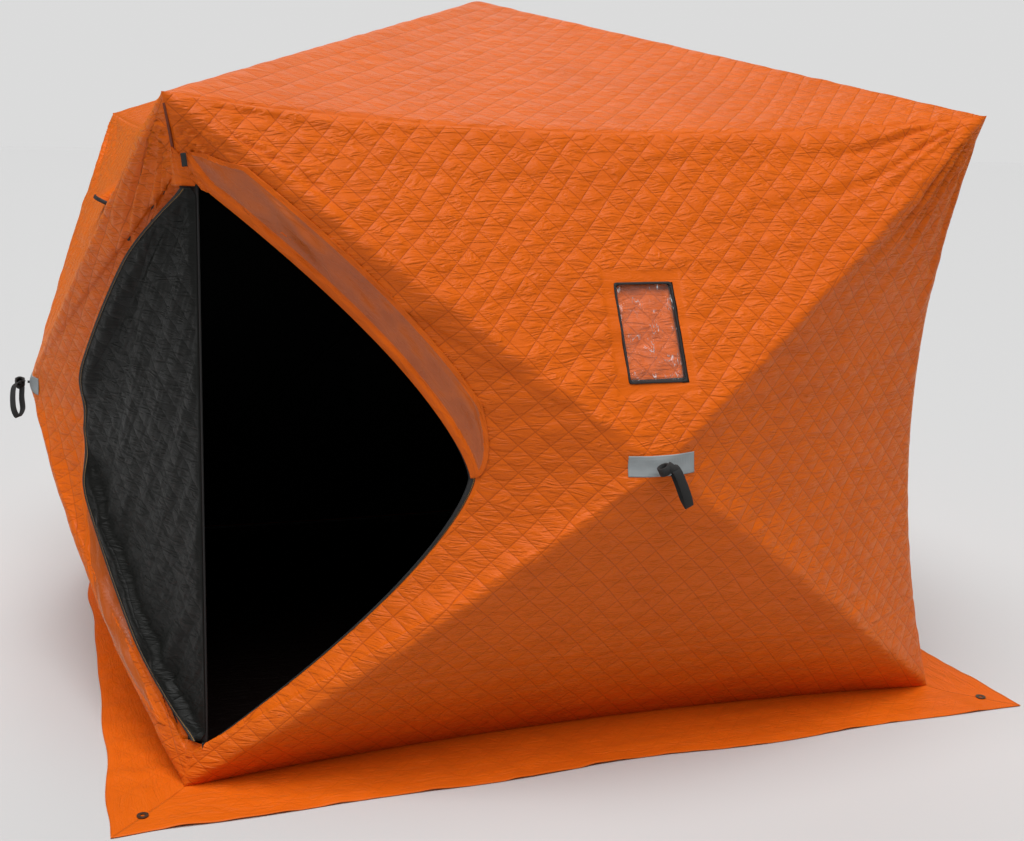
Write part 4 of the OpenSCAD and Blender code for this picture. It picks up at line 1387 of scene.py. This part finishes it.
def tab(name, start, run_dir, wide, size, material):
    """A short flat tab from a point along a direction."""
    t = np.linspace(0, 1, 12)[:, None]
    path = start + run_dir * t * size[1]
    piece = ribbon(path, np.broadcast_to(wide, path.shape), size[0], 0.003, name, material_for(material))
    trim(piece)


def small_trim_pieces():
    """Builds the zip pulls, the tab over the door and the tabs on the back corners."""
    g = sizes("hut_door")
    top = corner_edge(-1, np.array(corner_t(g.top_z + 0.05)))
    at = top + np.array([0.018, 0, 0.012])
    at[1] = draped_y(at[:1], at[2:], 0, True)[0] - 0.012
    tab("door_tab", at, np.array([0.1, 0.0, -1.0]), np.array([0.9, -0.4, 0.0]), (0.013, 0.030), "webbing")
    t = np.linspace(corner_t(g.top_z + 0.075), 0.985, 60)
    seam = corner_edge(-1, t) + np.array([1.0, 1.0, 0.0]) * 0.0012
    piece = ribbon(seam, np.broadcast_to(np.array([0.7, -0.7, 0.0]), seam.shape), 0.006, 0.004, "corner_seam",
                   material_for("seam_binding"))
    trim(piece)
    foot = fold_line(np.array(0.0))
    tab("zip_pull_foot", foot + np.array([-0.006, -0.008, 0.01]), np.array([0.03, 0.0, -1.0]),
        np.array([1.0, 0.2, 0.0]), (0.008, 0.05), "zip_metal")
    tip = door_edge(np.array(0.5))[[1, 0, 2]]
    tab("zip_pull_left", tip + np.array([-0.008, -0.012, 0.01]), np.array([0.0, 0.0, -1.0]),
        np.array([0.0, 1.0, 0.0]), (0.008, 0.05), "zip_metal")
    for side in (-1, 1):
        corner = turned(corner_edge(side, np.array(0.985)), 2)
        tab("corner_tab_" + ("right" if side < 0 else "left"), corner + np.array([0, 0, 0.012]),
            np.array([0.0, 0.0, -1.0]), np.array([1.0, -side, 0.0]), (0.022, 0.05), "webbing")


def finish_frame_parts():
    """Gives the poles, hubs, balls and eyelets their finishes."""
    finishes = {"hubs": "hub_plastic", "corner_balls": "hub_plastic", "skirt_eyelets": "eyelet_metal",
                "roof_poles": "pole"}
    finishes.update({name + "_poles": "pole" for name in WALLS})
    for node, finish in finishes.items():
        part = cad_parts[node]
        for place in part.material_slots:
            place.material = material_for(finish)


# ---- stage ----

def build_stage():
    """A pale floor, a weak sky, a large soft light overhead and a weak one behind."""
    size = 400.0
    points = np.array([[-1, -1, 0], [1, -1, 0], [1, 1, 0], [-1, 1, 0]]) * size - [0, 0, 0.001]
    floor = make_piece("studio_floor", points, np.array([[0, 1, 2, 3]]), None, None, studio_floor())
    world = bpy.data.worlds.new("studio")
    bpy.context.scene.world = world
    world.use_nodes = True
    sky = world.node_tree.nodes["Background"]
    sky.inputs[0].default_value = (1.0, 1.0, 1.0, 1.0)
    w = Wires(world.node_tree)
    seen = w.add("LightPath").outputs["Is Camera Ray"]
    w.put(sky.inputs[1], w.ramp(seen, 0.0, 1.0, 0.08, 0.71))
    add_sun("key", (0.16, 0.26, -1.0), 54.0, 3.6)
    add_sun("back", (-0.25, -0.85, -0.75), 40.0, 0.5)
    bpy.context.scene.view_settings.view_transform = "Standard"
    add_camera()


def add_sun(name, ahead, spread, strength):
    """A soft light from far away that shines along a direction."""
    light = bpy.data.lights.new(name, "SUN")
    light.angle = math.radians(spread)
    light.energy = strength
    lamp = bpy.data.objects.new(name, light)
    bpy.context.scene.collection.objects.link(lamp)
    level = math.hypot(ahead[0], ahead[1])
    lamp.rotation_euler = (math.atan2(level, -ahead[2]), 0, math.atan2(-ahead[0], ahead[1]))


def add_camera():
    """The camera stands in front of the hut, to the left, a little above its door."""
    camera = bpy.data.cameras.new("camera")
    camera.sensor_width = 36
    camera.lens = 43.67
    camera.shift_x = 0.0553
    camera.shift_y = -0.0163
    yaw, pitch, roll = math.radians(17.988), math.radians(-11.595), math.radians(1.002)
    ahead = np.array([math.sin(yaw) * math.cos(pitch), math.cos(yaw) * math.cos(pitch), math.sin(pitch)])
    right = np.array([math.cos(yaw), -math.sin(yaw), 0])
    up = np.cross(right, ahead)
    side = math.cos(roll) * right + math.sin(roll) * up
    top = math.cos(roll) * up - math.sin(roll) * right
    rig = bpy.data.objects.new("camera", camera)
    bpy.context.scene.collection.objects.link(rig)
    matrix = np.eye(4)
    matrix[:3, 0], matrix[:3, 1], matrix[:3, 2] = side, top, -ahead
    matrix[:3, 3] = (-1.3467, -3.9864, 1.566)
    rig.matrix_world = Matrix(matrix.tolist())
    bpy.context.scene.camera = rig


# ---- operators, panel and registration ----

class HutOperator:
    """What the hut's operators share: each runs its own build."""

    def execute(self, context):
        self.build()
        return {"FINISHED"}


class HUT_OT_stage(HutOperator, bpy.types.Operator):
    """Make the studio floor, lights and camera"""
    bl_idname = "hut.stage"
    bl_label = "Stage"

    def build(self):
        build_stage()


class HUT_OT_walls(HutOperator, bpy.types.Operator):
    """Make the four walls and their linings"""
    bl_idname = "hut.walls"
    bl_label = "Walls"

    def build(self):
        for k in range(4):
            wall_piece(k)


class HUT_OT_roof(HutOperator, bpy.types.Operator):
    """Make the roof and its lining"""
    bl_idname = "hut.roof"
    bl_label = "Roof"

    def build(self):
        roof_piece()


class HUT_OT_skirt(HutOperator, bpy.types.Operator):
    """Make the skirt and the dark floor sheet that stands in for the shade inside"""
    bl_idname = "hut.skirt"
    bl_label = "Skirt and floor"

    def build(self):
        for k in range(4):
            skirt_piece(k)
        shade_floor_piece()


class HUT_OT_door(HutOperator, bpy.types.Operator):
    """Make the door's two halves, zip tapes and zip covers"""
    bl_idname = "hut.door"
    bl_label = "Door"

    def build(self):
        door_flap_piece()
        left_half_piece()
        door_trim_pieces()


class HUT_OT_windows(HutOperator, bpy.types.Operator):
    """Make the windows and the vent hood"""
    bl_idname = "hut.windows"
    bl_label = "Windows and vent"

    def build(self):
        for k in range(3):
            window_piece(k)
        vent_piece()


class HUT_OT_trim(HutOperator, bpy.types.Operator):
    """Make the hub patches, pull straps and small trim"""
    bl_idname = "hut.trim"
    bl_label = "Patches, straps and tabs"

    def build(self):
        for k in range(4):
            patch_piece(k)
            strap_piece(k)
        small_trim_pieces()


class HUT_OT_frame_parts(HutOperator, bpy.types.Operator):
    """Finish the poles, hubs, balls and eyelets"""
    bl_idname = "hut.frame_parts"
    bl_label = "Frame parts"

    def build(self):
        finish_frame_parts()


class HUT_PT_sidebar(bpy.types.Panel):
    """Lists the hut's operators"""
    bl_idname = "HUT_PT_sidebar"
    bl_label = "Ice Fishing Hut"
    bl_space_type = "VIEW_3D"
    bl_region_type = "UI"
    bl_category = "Hut"

    def draw(self, context):
        for operator in OPERATORS:
            self.layout.operator(operator.bl_idname)


OPERATORS = (HUT_OT_stage, HUT_OT_walls, HUT_OT_roof, HUT_OT_skirt, HUT_OT_door, HUT_OT_windows, HUT_OT_trim,
             HUT_OT_frame_parts)
GROUPS = {"hut_shell": HutShell, "hut_cloth": HutCloth, "hut_door": HutDoor, "hut_trim": HutTrim,
          "hut_colours": HutColours}


def register():
    """Registers the classes and hangs the groups of sizes on the scene."""
    for cls in tuple(GROUPS.values()) + OPERATORS + (HUT_PT_sidebar,):
        bpy.utils.register_class(cls)
    for name, cls in GROUPS.items():
        setattr(bpy.types.Scene, name, PointerProperty(type=cls))


def unregister():
    """Takes the groups off the scene and unregisters the classes."""
    for name in GROUPS:
        delattr(bpy.types.Scene, name)
    for cls in (HUT_PT_sidebar,) + OPERATORS[::-1] + tuple(GROUPS.values())[::-1]:
        bpy.utils.unregister_class(cls)


def main():
    """Builds the whole hut."""
    register()
    bpy.ops.hut.stage()
    bpy.ops.hut.walls()
    bpy.ops.hut.roof()
    bpy.ops.hut.skirt()
    bpy.ops.hut.door()
    bpy.ops.hut.windows()
    bpy.ops.hut.trim()
    bpy.ops.hut.frame_parts()
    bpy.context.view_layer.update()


if __name__ == "__main__":
    main()
